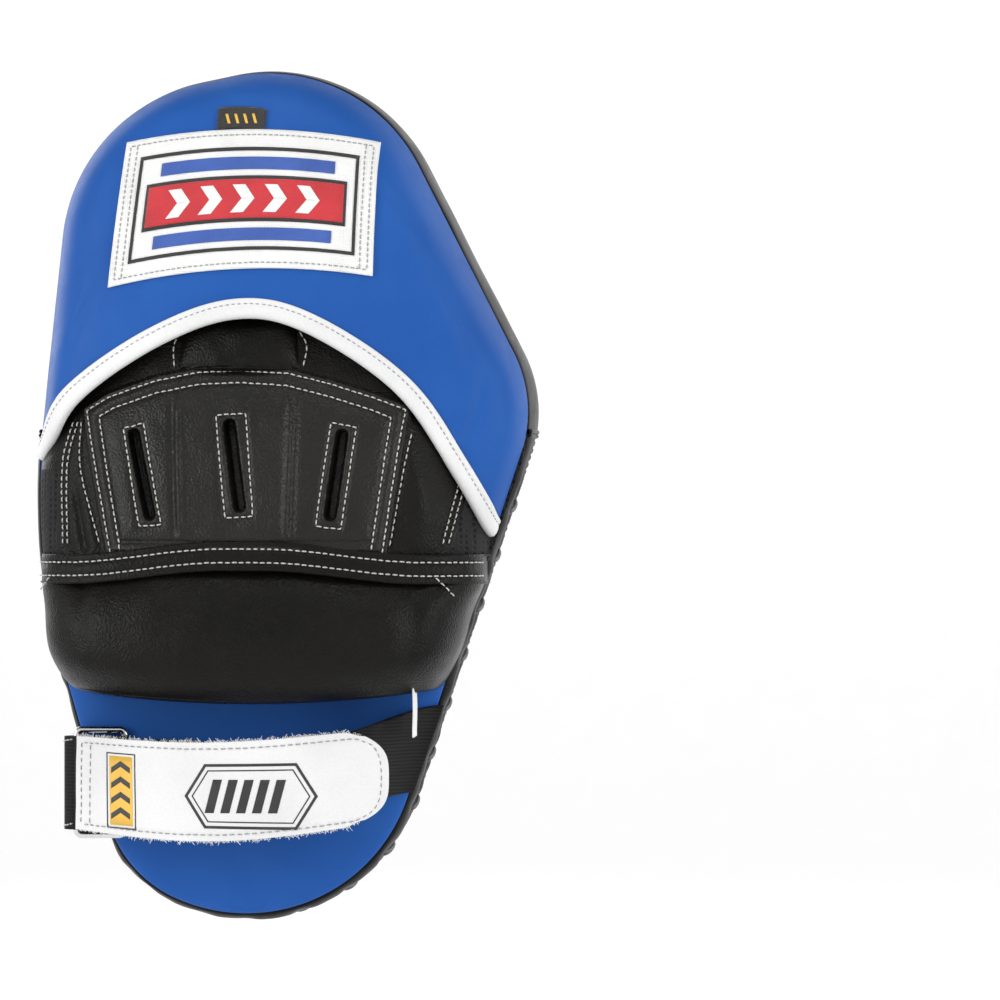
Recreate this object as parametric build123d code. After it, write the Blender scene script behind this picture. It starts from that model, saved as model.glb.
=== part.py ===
from build123d import *
from math import asin, cos, pi, sin, sqrt
import os

# Focus mitt for the left hand. Millimetres. +Z runs from the wrist to the fingertips, the hand side
# faces -Y, the striking face +Y, and the thumb side is +X. The origin is the middle of the hand pocket.

# Plan outline of the pad: corner x, corner z and the radius that rounds it.
OUTLINE = [(-70, 155, 68), (43, 179, 69), (115, 39, 51), (39.5, -187, 69), (-51, -150.5, 48), (-87.5, -22, 264)]

# The pad is bent along its length, so that the middle of the face is dished.
PAD_BACK_Y = 13.0
BEND_RADIUS = 1700.0

# Depths of the pad's layers, measured from its back surface towards the face.
BACK_PANEL = (0.0, 1.6)
BASE_FOAM = (1.6, 13.6)
IMPACT_FOAM = (13.6, 28.6)
GEL_LAYER = (28.6, 34.6)
FACE_FOAM = (34.6, 40.4)
FACE_PANEL = (40.4, 42.0)
GUSSET_THICKNESS = 1.6
LAYER_INSET = 1.8

# The sewn patch on the striking face.
FACE_PATCH_CENTRE = (-23.0, 29.0)
FACE_PATCH_SIZE = (57.0, 47.0)
FACE_PATCH_CORNER = 12.0
FACE_PATCH_THICKNESS = 1.0

# The gusset: a smooth upper part, and a lower part that is slit and laced.
CROSS_SEAM_Z = 27.0
LACE_TOP_THUMB_Z = 8.0
LACE_TOP_FINGER_Z = -66.0
SLIT_FRONT = 25.0
SLIT_BACK = 16.0
LACE_RADIUS = 1.7
LACE_HALF = 6.5
LACE_LEAN = 20.0
LACE_COUNT = 17

# The finger hood: a dome over the upper half, cut off by an arched lip.
HOOD_CENTRE = (6.0, 75.0)
HOOD_HEIGHT = 36.0
HOOD_SPHERE = 300.0
HOOD_TAPER = 20.0
HOOD_SKIN = 1.8
HOOD_LINING = 1.0
HOOD_GAP = 0.3
LIP = [(-100, -4), (-78.6, 18), (-63, 38), (-31, 59), (-1, 69.5), (25, 64.6), (60, 41.4), (81.5, 9.9), (104, -32)]
BINDING_WIDTH = 9.0
BINDING_THICKNESS = 1.2

# The hand compartment: arched sections, each z, left x, right x, roof y, and left and right corner radii.
COVER = [(-22, -76, 88, -27, 28, 34), (24, -70, 88, -22, 30, 42), (92, -54, 64, -8, 24, 24)]
COVER_SKIN = 2.2
OVERLAY_SKIN = 1.6
CUFF = [(-22, -77.5, 89.5, -29, 24, 28), (-48, -77, 84, -38, 26, 28), (-81, -71, 75, -35, 26, 28)]
CUFF_SKIN = 1.5
CUFF_FOAM = 14.5
CUFF_LINING = 1.2
CUFF_BAND_Z = (-29.0, -20.0)

# The wrist strap, its ring and its keeper. The strap's layers are arcs about one upright axis.
STRAP_AXIS = (2.0, 85.0)
STRAP_Z = (-130.2, -93.4)
RING_OUTER = (-68.0, 7.7)
RING_INNER = (-49.5, 11.4)
RING_Z = (-134.0, -89.5)
RING_WIRE = 1.5
ROLL_RADIUS = 5.0
ELASTIC = 2.2
TAB_RADII = (110.2, 112.8)
HOOK_RADII = (108.7, 110.2)
LEG_RADII = (107.2, 109.0)
TAB_Z = (-132.5, -93.0)
RUN_GAP = 0.35


def outline_face(inset=0.0):
    """The plan outline in the XZ plane, moved inwards by an inset."""
    corners = [(x, z) for x, z, radius in OUTLINE]
    path = FilletPolyline(*corners, close=True, radius=[radius for x, z, radius in OUTLINE])
    face = (Plane.XZ * make_face(path)).face()
    return face if inset == 0 else offset(face, amount=-inset).face()


def through(face):
    """A shape of the XZ plane, extruded through the whole depth of the mitt."""
    return extrude(face, amount=120, both=True)


def flat_region(points):
    """A straight-sided region of the XZ plane, extruded through the whole depth."""
    return through(Plane.XZ * make_face(Polyline(*points, close=True)))


def bent_y(z, depth):
    """Height in Y of the pad's bent layer at a given depth below its back surface."""
    radius = BEND_RADIUS - depth
    return PAD_BACK_Y + BEND_RADIUS - sqrt(radius**2 - z**2)


def bent_slab(depths):
    """A bent slab between two depths, wider and longer than the pad."""
    ends = [[(bent_y(z, depth), z) for z in (-190, 0, 190)] for depth in depths]
    near, far = ends
    edges = [ThreePointArc(*near), Line(near[2], far[2]), ThreePointArc(*far), Line(far[0], near[0])]
    return extrude(Plane.YZ * make_face(edges), amount=150, both=True)


def layer(depths, inset):
    """One layer of the pad."""
    return through(outline_face(inset)) & bent_slab(depths)


def box_between(x, y, z):
    """An upright box from three pairs of limits."""
    size = [high - low for low, high in (x, y, z)]
    middle = [(low + high) / 2 for low, high in (x, y, z)]
    return Pos(*middle) * Box(*size)


def save(name, shape):
    """Writes one sub-part, as the separate solids that it is made of."""
    solids = [solid for solid in shape.solids() if solid.volume > 1.0]
    result = solids[0] if len(solids) == 1 else Compound(children=solids)
    result.label = name
    export_step(result, f"parts/{name}.step")


# ---------------------------------------------------------------- the pad

def pad_layers():
    save("back_panel", layer(BACK_PANEL, 0))
    save("base_foam", layer(BASE_FOAM, LAYER_INSET))
    save("impact_foam", layer(IMPACT_FOAM, LAYER_INSET))
    save("gel_layer", layer(GEL_LAYER, LAYER_INSET))
    save("face_foam", layer(FACE_FOAM, LAYER_INSET))
    save("face_panel", layer(FACE_PANEL, 0))


def gusset_band(depths, inner=GUSSET_THICKNESS, outer=0.0):
    """A band round the pad between two depths."""
    ring = through(outline_face(outer)) - through(outline_face(inner))
    return ring & bent_slab(depths)


def slit_region():
    """The stretch of the gusset that is slit: round the bottom and part of the way up both sides."""
    bottom = -200
    return flat_region([(-130, bottom), (130, bottom), (130, LACE_TOP_THUMB_Z), (0, LACE_TOP_THUMB_Z),
                        (0, LACE_TOP_FINGER_Z), (-130, LACE_TOP_FINGER_Z)])


def gusset():
    whole = (BACK_PANEL[1], FACE_PANEL[0])
    above = box_between((-150, 150), (-100, 100), (CROSS_SEAM_Z, 250))
    save("upper_gusset", gusset_band(whole) & above)
    lower = gusset_band(whole) - above
    slit = slit_region() & bent_slab((SLIT_BACK, SLIT_FRONT))
    save("lower_gusset", lower - slit)
    save("lace_binding", gusset_band((SLIT_BACK, SLIT_FRONT), GUSSET_THICKNESS) & slit_region())


def gusset_lace():
    """Round laces that cross the slit. Each stands on the gusset and leans the same way round the pad."""
    rim = through(outline_face(-LACE_RADIUS - 0.1)).faces().sort_by(Axis.Y)[0].outer_wire()
    length = rim.length
    inside = [step for step in range(400) if laced(rim.position_at(step / 400))]
    first = next(step for step in inside if (step - 1) % 400 not in inside)
    span = len(inside) / 400
    ties = []
    for tie in range(LACE_COUNT):
        place = (first / 400 + span * (tie + 0.5) / LACE_COUNT) % 1
        ties.append(lace_tie(rim, place, length))
    save("gusset_lace", Compound(children=ties))


def laced(point):
    """True where the gusset is slit."""
    return point.Z < (LACE_TOP_THUMB_Z if point.X > 0 else LACE_TOP_FINGER_Z)


def lace_tie(rim, place, length):
    """One straight round tie, tangent to the gusset and leaning along it."""
    shift = LACE_HALF * sin(LACE_LEAN * pi / 180) / length
    ends = []
    for side in (-1, 1):
        point = rim.position_at((place + side * shift) % 1)
        depth = (SLIT_BACK + SLIT_FRONT) / 2 + side * LACE_HALF * cos(LACE_LEAN * pi / 180)
        ends.append(Vector(point.X, bent_y(point.Z, depth), point.Z))
    axis = ends[1] - ends[0]
    plane = Plane(origin=ends[0], z_dir=axis)
    return extrude(plane * Circle(LACE_RADIUS), amount=axis.length)


# ---------------------------------------------------------------- the hood

def dome(swell):
    """The hood's domed block: the pad's outline drawn inwards as it rises, under a very large sphere."""
    outline = outline_face(-swell) if swell else outline_face()
    base = Pos(0, PAD_BACK_Y, 0) * outline
    walls = extrude(base, amount=45, dir=(0, -1, 0), taper=HOOD_TAPER)
    skirt = extrude(base, amount=14, dir=(0, 1, 0))
    radius = HOOD_SPHERE + swell
    ball = Pos(HOOD_CENTRE[0], PAD_BACK_Y - HOOD_HEIGHT + HOOD_SPHERE, HOOD_CENTRE[1]) * Sphere(radius)
    return ((walls & ball) + skirt) - bent_slab((0, 60))


def lip_region(lower):
    """Everything above the hood's arched lip, moved down by a distance."""
    points = [(x, z - lower) for x, z in LIP]
    edges = [Spline(*points), Polyline(points[-1], (150, 260), (-150, 260), points[0])]
    return through(Plane.XZ * make_face(edges))


def hood():
    outer = dome(0)
    middle = dome(-HOOD_SKIN)
    inner = dome(-HOOD_SKIN - HOOD_LINING)
    raised = dome(BINDING_THICKNESS)
    above = lip_region(0)
    save("finger_hood", (outer - middle) & above)
    save("hood_lining", (middle - inner) & above)
    facing = (raised - outer) & (above - lip_region(-BINDING_WIDTH))
    edge = (raised - inner) & (lip_region(BINDING_THICKNESS) - above)
    save("hood_binding", facing + edge)
    patch = Plane.XZ * make_face(Polyline((-48, 140), (51, 140), (50, 87), (-55, 84), close=True))
    patch_shell = raised - outer
    save("hood_patch", patch_shell & through(patch))
    tag = Plane.XZ * make_face(Polyline((-10, 153), (8.5, 153.5), (8.5, 144), (-10.5, 143.5), close=True))
    save("side_tag", patch_shell & through(tag))


# ---------------------------------------------------------------- the hand compartment

def arch(sections, grow):
    """A solid arch lofted through upright D-shaped sections, grown or shrunk by a wall thickness."""
    faces = []
    for z, left, right, roof, left_radius, right_radius in sections:
        lean = 5.0
        left, right, roof = left - grow, right + grow, roof - grow
        corners = [(left, 30), (left + lean, roof), (right - lean, roof), (right, 30)]
        path = FilletPolyline(*corners, radius=(left_radius + grow, right_radius + grow))
        base = Line(corners[-1], corners[0])
        faces.append(Pos(0, 0, z) * make_face([*path.edges(), base]))
    solid = loft(faces, ruled=True)
    return solid - bent_slab((0, 60))


def cover_walls():
    """The compartment's wall, without the parts that the vents leave open."""
    return arch(COVER, 0) - arch(COVER, -COVER_SKIN)


def vent(x_top, z_top, x_bottom, z_bottom, half_width):
    """One vent slot, as a region through the wall."""
    return flat_region([(x_top - half_width, z_top), (x_top + half_width, z_top),
                        (x_bottom + half_width, z_bottom), (x_bottom - half_width, z_bottom)])


VENTS = [(-45, 28.5, -37, -7, 2.0), (-6, 31, -1, -3.5, 2.0), (38.5, 28.5, 33.5, -7, 2.0)]


def hand_compartment():
    above_lip = lip_region(BINDING_THICKNESS + HOOD_GAP)
    hood_wall = above_lip - dome(-HOOD_SKIN - HOOD_LINING - HOOD_GAP)
    walls = cover_walls() - hood_wall
    vents = vent(*VENTS[0]) + vent(*VENTS[1]) + vent(*VENTS[2])
    knuckles = flat_region([(-53, -19.9), (-64, 35), (-60, 41), (-34, 46), (-4, 49), (28, 47), (58, 38),
                            (60, 32), (52, -19.9)])
    left_edge = flat_region([(-130, -19.9), (-56, -19.9), (-66, 44), (-66, 100), (-130, 100)])
    right_edge = flat_region([(55, -19.9), (130, -19.9), (130, 100), (62, 100), (62, 44)])
    mesh_zone_left = flat_region([(-130, -19.9), (-70, -19.9), (-71, 12), (-130, 12)])
    mesh_zone_right = flat_region([(78, -19.9), (130, -19.9), (130, 4), (84, 4)])
    above_band = box_between((-130, 130), (-80, 40), (-19.9, 100))
    walls = walls & above_band
    centre = walls - left_edge - right_edge
    save("hand_panel", centre - vents)
    save("mesh_left", walls & mesh_zone_left)
    save("mesh_right", walls & mesh_zone_right)
    save("side_panel", (walls & left_edge) - mesh_zone_left)
    save("thumb_panel", (walls & right_edge) - mesh_zone_right)
    overlay = (arch(COVER, OVERLAY_SKIN) - arch(COVER, 0)) & above_band
    save("knuckle_panel", (overlay & knuckles) - vents)
    bridge = flat_region([(-27, 52), (-24, 69), (14, 69), (17, 52)])
    bridge_block = (arch(COVER, 4.0) - arch(COVER, 0)) & above_band
    save("finger_bridge", bridge_block & bridge)


def cuff():
    skin_end = box_between((-130, 130), (-80, 40), (-79.5, CUFF_BAND_Z[0]))
    below_band = box_between((-130, 130), (-80, 40), (-90, CUFF_BAND_Z[0]))
    foam_depth = CUFF_SKIN + CUFF_FOAM
    skins = [arch(CUFF, -inset) for inset in (0, CUFF_SKIN, foam_depth, foam_depth + CUFF_LINING)]
    outer, under, above, inner = skins
    filling = (under - above) & skin_end
    lining = (above - inner) & skin_end
    save("cuff_foam", filling)
    save("cuff_lining", lining)
    save("cuff_cover", ((outer - inner) & below_band) - filling - lining)
    band_zone = box_between((-130, 130), (-80, 40), CUFF_BAND_Z)
    band = arch([(CUFF_BAND_Z[0], -77, 89, -31, 24, 28), (CUFF_BAND_Z[1], -76, 88, -27.5, 26, 32)], 0)
    hollow = arch([(CUFF_BAND_Z[0], -62, 72, -15, 16, 18), (CUFF_BAND_Z[1], -66, 78, -18, 18, 22)], 0)
    save("cuff_band", (band - hollow) & band_zone)


def palm_side():
    region = flat_region([(-51, -78), (-58, -20), (-56, 60), (-44, 100), (44, 100), (64, 60), (68, -20),
                          (55, -78)])
    save("palm_lining", region & bent_slab((-1.0, 0)))
    dome_faces = [Pos(2, bent_y(20, -1.0) + 1.5 - rise, 18) * (Plane.XZ * Ellipse(30 * size, 34 * size))
                  for rise, size in ((0, 1.0), (5, 0.9), (8, 0.6))]
    save("palm_pad", loft(dome_faces) - bent_slab((-1.0, 60)))


# ---------------------------------------------------------------- face patch

def face_patch():
    """The sewn patch on the striking face, nearer to its little-finger edge."""
    outline = RectangleRounded(*FACE_PATCH_SIZE, FACE_PATCH_CORNER)
    region = through(Plane.XZ * Pos(*FACE_PATCH_CENTRE) * outline)
    save("face_patch", region & bent_slab((FACE_PANEL[1], FACE_PANEL[1] + FACE_PATCH_THICKNESS)))


# ---------------------------------------------------------------- the wrist strap

def arc_band(radii, left, right, z):
    """A band of the strap between two radii about its axis, from a left x to a right x."""
    cx, cy = STRAP_AXIS
    def polar(radius, angle):
        return (cx + radius * sin(angle), cy - radius * cos(angle))
    start, end = asin((left - cx) / radii[0]), asin((right - cx) / radii[0])
    arcs = []
    for radius in radii:
        arcs.append([polar(radius, start + (end - start) * part) for part in (0, 0.5, 1)])
    near, far = arcs
    edges = [ThreePointArc(*near), Line(near[2], far[2]), ThreePointArc(*far), Line(far[0], near[0])]
    return Pos(0, 0, z[0]) * extrude(make_face(edges), amount=z[1] - z[0])


def ribbon(path, thickness, z):
    """A flat webbing of one thickness along a path, as tall as z says."""
    face = trace(path, line_width=thickness)
    return Pos(0, 0, z[0]) * extrude(face, amount=z[1] - z[0])


def ring_and_keeper():
    wire = RING_WIRE
    z_low, z_high = RING_Z[0] + wire, RING_Z[1] - wire
    inner, outer = Vector(*RING_INNER), Vector(*RING_OUTER)
    corners = [(inner.X, inner.Y, z_low), (inner.X, inner.Y, z_high), (outer.X, outer.Y, z_high),
               (outer.X, outer.Y, z_low)]
    path = FilletPolyline(*corners, close=True, radius=2.0)
    frame = Plane(origin=path @ 0, z_dir=path % 0)
    save("ring", sweep(frame * Circle(wire), path=path))
    keeper_z = (STRAP_Z[0] + 3.6, STRAP_Z[1] - 3.6)
    hole = wire + RUN_GAP
    tail_y = bent_y(-112, 0) - 0.1
    body = Pos(*RING_INNER) * Circle(hole + 1.4) + Pos(-36, tail_y - 1.2) * Rectangle(30, 2.4)
    body = body - Pos(*RING_INNER) * Circle(hole)
    sleeve = Pos(0, 0, keeper_z[0]) * extrude(body, amount=keeper_z[1] - keeper_z[0])
    save("ring_keeper", sleeve - bent_slab((0, 60)))


def strap():
    base = ribbon(ThreePointArc((-45.5, 1.0), (4, -20.6), (73, 12.2)), ELASTIC, STRAP_Z)
    save("strap_elastic", base - bent_slab((0, 60)))
    end = ribbon(FilletPolyline((-47.4, 2.6), (-57.5, 10.8), (-66.5, 14.0), radius=6), 1.8, STRAP_Z)
    save("strap_return", end)
    roll = Pos(*RING_OUTER) * (Circle(ROLL_RADIUS) - Circle(RING_WIRE + RUN_GAP))
    roll = Pos(0, 0, STRAP_Z[0]) * extrude(roll, amount=STRAP_Z[1] - STRAP_Z[0])
    bore = Pos(RING_OUTER[0], RING_OUTER[1], 0) * Cylinder(RING_WIRE + RUN_GAP, 400)
    leg = arc_band(LEG_RADII, -67, -14, STRAP_Z)
    save("strap_leg", (roll + leg) - bore)
    tab = arc_band(TAB_RADII, -69, 57, TAB_Z)
    rounding = flat_region([(-90, -200), (49, -200), (56.5, -125), (56.5, -100), (49, -60), (-90, -60)])
    save("strap_tab", tab & rounding)
    hook = arc_band(HOOK_RADII, -6, 54, (TAB_Z[0] + 1, TAB_Z[1] - 1))
    save("strap_hook", hook)


def label_tag():
    save("label_tag", box_between((67.5, 68.5), (-13, -1), (-93, -81)))


os.makedirs("parts", exist_ok=True)
pad_layers()
gusset()
gusset_lace()
hood()
hand_compartment()
cuff()
palm_side()
face_patch()
ring_and_keeper()
strap()
label_tag()
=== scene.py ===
import math

import bmesh
import bpy
import numpy as np
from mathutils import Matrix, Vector


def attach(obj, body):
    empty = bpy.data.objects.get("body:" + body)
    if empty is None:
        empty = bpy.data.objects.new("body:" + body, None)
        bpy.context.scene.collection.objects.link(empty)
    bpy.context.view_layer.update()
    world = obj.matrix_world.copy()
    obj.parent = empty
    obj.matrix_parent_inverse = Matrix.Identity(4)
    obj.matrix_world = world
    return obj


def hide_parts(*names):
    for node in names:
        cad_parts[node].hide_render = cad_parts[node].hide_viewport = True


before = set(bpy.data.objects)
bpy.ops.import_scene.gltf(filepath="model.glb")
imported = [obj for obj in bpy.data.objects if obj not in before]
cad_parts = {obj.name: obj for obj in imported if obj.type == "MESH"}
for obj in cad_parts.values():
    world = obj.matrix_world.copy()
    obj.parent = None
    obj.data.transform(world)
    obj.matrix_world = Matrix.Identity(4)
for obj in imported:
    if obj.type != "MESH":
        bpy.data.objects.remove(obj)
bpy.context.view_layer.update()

# Lengths below are in millimetres until a mesh is made, and MM turns them into metres.
MM = 0.001

# The pad's plan outline, as in the CAD: corner x, corner z and the radius that rounds it.
OUTLINE = [(-70, 155, 68), (43, 179, 69), (115, 39, 51), (39.5, -187, 69), (-51, -150.5, 48),
           (-87.5, -22, 264)]
PAD_BACK_Y = 13.0
BEND_RADIUS = 1700.0
CROSS_SEAM_Z = 27.0
LACE_TOP_THUMB_Z = 8.0
LACE_TOP_FINGER_Z = -66.0
# Depths below the back surface: the two seams of the side band, and the laced slit in it.
BACK_SEAM, FACE_SEAM = 1.4, 38.4
SLIT = (15.6, 25.4)
LACE_COUNT = 17
HOOD_CENTRE = (6.0, 75.0)
LIP = [(-100, -1), (-80.6, 19.2), (-64.8, 39.8), (-32.2, 61.2), (-1.2, 71.8), (26.2, 66.8), (61.8, 43.2),
       (83.5, 11.3), (106, -31)]
STRAP_AXIS = (2.0, 85.0)
STRAP_Z = (-130.2, -93.4)
RING_OUTER = (-68.0, 7.7)


# ------------------------------------------------------------------ small maths

def smooth(value, low, high):
    t = np.clip((value - low) / (high - low), 0, 1)
    return t * t * (3 - 2 * t)


def noise2(a, b, scale, seed):
    """Smooth value noise between -1 and 1 over two coordinates."""
    random = np.random.RandomState(seed)
    size = 64
    table = random.uniform(-1, 1, (size, size))
    u, v = np.asarray(a) / scale, np.asarray(b) / scale
    i, j = np.floor(u).astype(int), np.floor(v).astype(int)
    fu, fv = u - i, v - j
    fu, fv = fu * fu * (3 - 2 * fu), fv * fv * (3 - 2 * fv)
    i, j = i % size, j % size
    i1, j1 = (i + 1) % size, (j + 1) % size
    low = table[i, j] * (1 - fu) + table[i1, j] * fu
    high = table[i, j1] * (1 - fu) + table[i1, j1] * fu
    return low * (1 - fv) + high * fv


def resample(points, count, closed=False):
    """Points at equal steps along a polyline."""
    points = np.asarray(points, float)
    if closed:
        points = np.vstack([points, points[:1]])
    steps = np.r_[0, np.cumsum(np.linalg.norm(np.diff(points, axis=0), axis=1))]
    at = np.linspace(0, steps[-1], count + 1)[:-1] if closed else np.linspace(0, steps[-1], count)
    return np.stack([np.interp(at, steps, points[:, k]) for k in range(points.shape[1])], 1)


def smooth_curve(points, count):
    """A Catmull-Rom curve through a few points, at equal steps."""
    p = np.asarray(points, float)
    p = np.vstack([2 * p[0] - p[1], p, 2 * p[-1] - p[-2]])
    out = []
    for k in range(1, len(p) - 2):
        for t in np.linspace(0, 1, 24, endpoint=False):
            a, b, c, d = p[k - 1:k + 3]
            out.append(0.5 * (2 * b + (c - a) * t + (2 * a - 5 * b + 4 * c - d) * t**2
                              + (3 * b - a - 3 * c + d) * t**3))
    out.append(p[-2])
    return resample(out, count)


def segment_distance(x, z, points, closed=False):
    """Distance in plan from points to a polyline."""
    points = np.asarray(points, float)
    ends = np.roll(points, -1, 0) if closed else points[1:]
    starts = points if closed else points[:-1]
    best = np.full(np.shape(x), 1e9)
    for (ax, az), (bx, bz) in zip(starts, ends):
        dx, dz = bx - ax, bz - az
        t = np.clip(((x - ax) * dx + (z - az) * dz) / (dx * dx + dz * dz + 1e-12), 0, 1)
        best = np.minimum(best, np.hypot(x - ax - t * dx, z - az - t * dz))
    return best


def signed_distance(x, z, points):
    """Distance to a closed polygon, positive inside."""
    points = np.asarray(points, float)
    inside = np.zeros(np.shape(x), bool)
    for (ax, az), (bx, bz) in zip(points, np.roll(points, -1, 0)):
        crosses = (az > z) != (bz > z)
        with np.errstate(divide="ignore", invalid="ignore"):
            inside ^= crosses & (x < (bx - ax) * (z - az) / (bz - az) + ax)
    return np.where(inside, 1, -1) * segment_distance(x, z, points, closed=True)


# ------------------------------------------------------------------ the pad's shape

def outline_points(count):
    """Equal steps round the pad's outline, with outward normals, starting at the top and going clockwise."""
    corners = np.array(OUTLINE, float)
    path = []
    for k in range(len(corners)):
        here, radius = corners[k, :2], corners[k, 2]
        back = corners[k - 1, :2] - here
        on = corners[(k + 1) % len(corners), :2] - here
        back, on = back / np.linalg.norm(back), on / np.linalg.norm(on)
        half = math.acos(np.clip(back @ on, -1, 1)) / 2
        centre = here + (back + on) / np.linalg.norm(back + on) * radius / math.sin(half)
        start, end = here + back * radius / math.tan(half), here + on * radius / math.tan(half)
        a0, a1 = math.atan2(*(start - centre)[::-1]), math.atan2(*(end - centre)[::-1])
        turn = (a1 - a0 + math.pi) % (2 * math.pi) - math.pi
        for t in np.linspace(0, 1, 200):
            path.append(centre + radius * np.array([math.cos(a0 + turn * t), math.sin(a0 + turn * t)]))
    points = resample(path, count, closed=True)
    points = np.roll(points, -int(np.argmax(points[:, 1])), 0)
    tangent = np.roll(points, -1, 0) - np.roll(points, 1, 0)
    tangent /= np.linalg.norm(tangent, axis=1)[:, None]
    normal = np.stack([-tangent[:, 1], tangent[:, 0]], 1)
    if (normal * (points - points.mean(0))).sum() < 0:
        normal = -normal
    return points, normal


RIM_COUNT = 1080
RIM, RIM_NORMAL = outline_points(RIM_COUNT)
RIM_LENGTH = np.linalg.norm(np.roll(RIM, -1, 0) - RIM, axis=1).sum()
RIM_STEP = RIM_LENGTH / RIM_COUNT
RIM_COARSE = RIM[::4]


def bent_y(z, depth):
    """Y of the pad's bent layer at a depth below its back surface."""
    return PAD_BACK_Y + BEND_RADIUS - np.sqrt((BEND_RADIUS - depth) ** 2 - z**2)


def rim_points(inset, depth):
    """Points round the rim, moved inwards and set at a depth."""
    plan = RIM - RIM_NORMAL * np.reshape(inset, (-1, 1))
    return np.stack([plan[:, 0], bent_y(plan[:, 1], depth), plan[:, 1]], 1)


def hood_height(x, z):
    """Height of the hood above the pad's back surface."""
    inside = signed_distance(x, z, RIM_COARSE)
    edge = 1.5 + 42 * (1 - np.exp(-np.maximum(inside, 0) / 10.5))
    ball = 36.5 - ((x - HOOD_CENTRE[0]) ** 2 + (z - HOOD_CENTRE[1]) ** 2) / 640
    blend = 6.0
    return -blend * np.log(np.exp(-edge / blend) + np.exp(-ball / blend))


def hood_y(x, z):
    return bent_y(z, 0) - hood_height(x, z)


# ------------------------------------------------------------------ mesh helpers

def quads(nu, nv, wrap_u=False, wrap_v=False):
    iu = np.arange(nu if wrap_u else nu - 1)[:, None]
    iv = np.arange(nv if wrap_v else nv - 1)[None, :]
    a, b = iu * nv + iv, ((iu + 1) % nu) * nv + iv
    c, d = ((iu + 1) % nu) * nv + (iv + 1) % nv, iu * nv + (iv + 1) % nv
    return np.stack([a, b, c, d], -1).reshape(-1, 4)


def make_mesh(name, points, faces, material, body="root", slot=None, tidy=True):
    """A smooth piece from points in millimetres, riding on a body."""
    mesh = bpy.data.meshes.new(name)
    mesh.from_pydata((np.asarray(points) * MM).tolist(), [], [list(f) for f in faces])
    if tidy:
        work = bmesh.new()
        work.from_mesh(mesh)
        bmesh.ops.remove_doubles(work, verts=work.verts, dist=1e-6)
        bmesh.ops.recalc_face_normals(work, faces=work.faces)
        work.to_mesh(mesh)
        work.free()
    mesh.polygons.foreach_set("use_smooth", [True] * len(mesh.polygons))
    mesh.materials.append(material)
    piece = bpy.data.objects.new(name, mesh)
    bpy.context.scene.collection.objects.link(piece)
    if body:
        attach(piece, body)
    return piece


def grid_normals(grid, wrap_u=False):
    du = (np.roll(grid, -1, 0) - np.roll(grid, 1, 0)) if wrap_u else np.gradient(grid, axis=0)
    dv = np.gradient(grid, axis=1)
    normal = np.cross(du, dv)
    return normal / (np.linalg.norm(normal, axis=2)[..., None] + 1e-12)


def shell(name, grid, thickness, material, body="root", slot=None, wrap_u=False, flip=False, round_edge=True):
    """A closed sheet: a grid of points, its copy at a thickness behind it, and rounded edges between."""
    nu, nv = grid.shape[:2]
    normal = grid_normals(grid, wrap_u) * (-1 if flip else 1)
    back = grid - normal * thickness
    layers = [grid, back]
    points = np.concatenate([layer.reshape(-1, 3) for layer in layers])
    faces = [quads(nu, nv, wrap_u)]
    faces.append(quads(nu, nv, wrap_u)[:, ::-1] + nu * nv)
    edges = [[(u, 0) for u in range(nu)], [(u, nv - 1) for u in range(nu)]]
    if not wrap_u:
        edges += [[(0, v) for v in range(nv)], [(nu - 1, v) for v in range(nv)]]
    extra = []
    for number, edge in enumerate(edges):
        index = np.array([u * nv + v for u, v in edge])
        closed = wrap_u and number < 2
        nxt = np.roll(index, -1) if closed else index[1:]
        now = index if closed else index[:-1]
        extra.append(np.stack([now, nxt, nxt + nu * nv, now + nu * nv], 1))
    faces += extra
    piece = make_mesh(name, points, np.concatenate(faces), material, body, slot)
    if round_edge:
        bevel = piece.modifiers.new("edge", "BEVEL")
        bevel.width = thickness * 0.38 * MM
        bevel.segments = 2
        bevel.limit_method = "ANGLE"
        bevel.angle_limit = math.radians(50)
    return piece


def tube_points(path, radius, sides=10, normals=None):
    """Rings of points round a path, with a fixed up vector for each ring."""
    path = np.asarray(path, float)
    tangent = np.gradient(path, axis=0)
    tangent /= np.linalg.norm(tangent, axis=1)[:, None]
    up = np.asarray(normals, float) if normals is not None else np.tile([0.0, -1.0, 0.0], (len(path), 1))
    side = np.cross(tangent, up)
    side /= np.linalg.norm(side, axis=1)[:, None] + 1e-12
    up = np.cross(side, tangent)
    angle = np.linspace(0, 2 * math.pi, sides, endpoint=False)
    radius = np.broadcast_to(np.asarray(radius, float), (len(path),))
    return (path[:, None] + radius[:, None, None] * (np.cos(angle)[None, :, None] * side[:, None]
            + np.sin(angle)[None, :, None] * up[:, None]))


def tubes(name, paths, radius, material, body="root", slot=None, sides=8, normals=None):
    """Several capped round tubes in one piece."""
    points, faces, base = [], [], 0
    for number, path in enumerate(paths):
        count = len(path)
        taper = np.ones(count)
        taper[0] = taper[-1] = 0.55
        rings = tube_points(path, radius * taper, sides, None if normals is None else normals[number])
        points.append(rings.reshape(-1, 3))
        faces += (quads(count, sides, wrap_v=True) + base).tolist()
        faces.append([base + k for k in range(sides)])
        faces.append([base + (count - 1) * sides + k for k in reversed(range(sides))])
        base += count * sides
    return make_mesh(name, np.concatenate(points), faces, material, body, slot, tidy=True)


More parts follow.
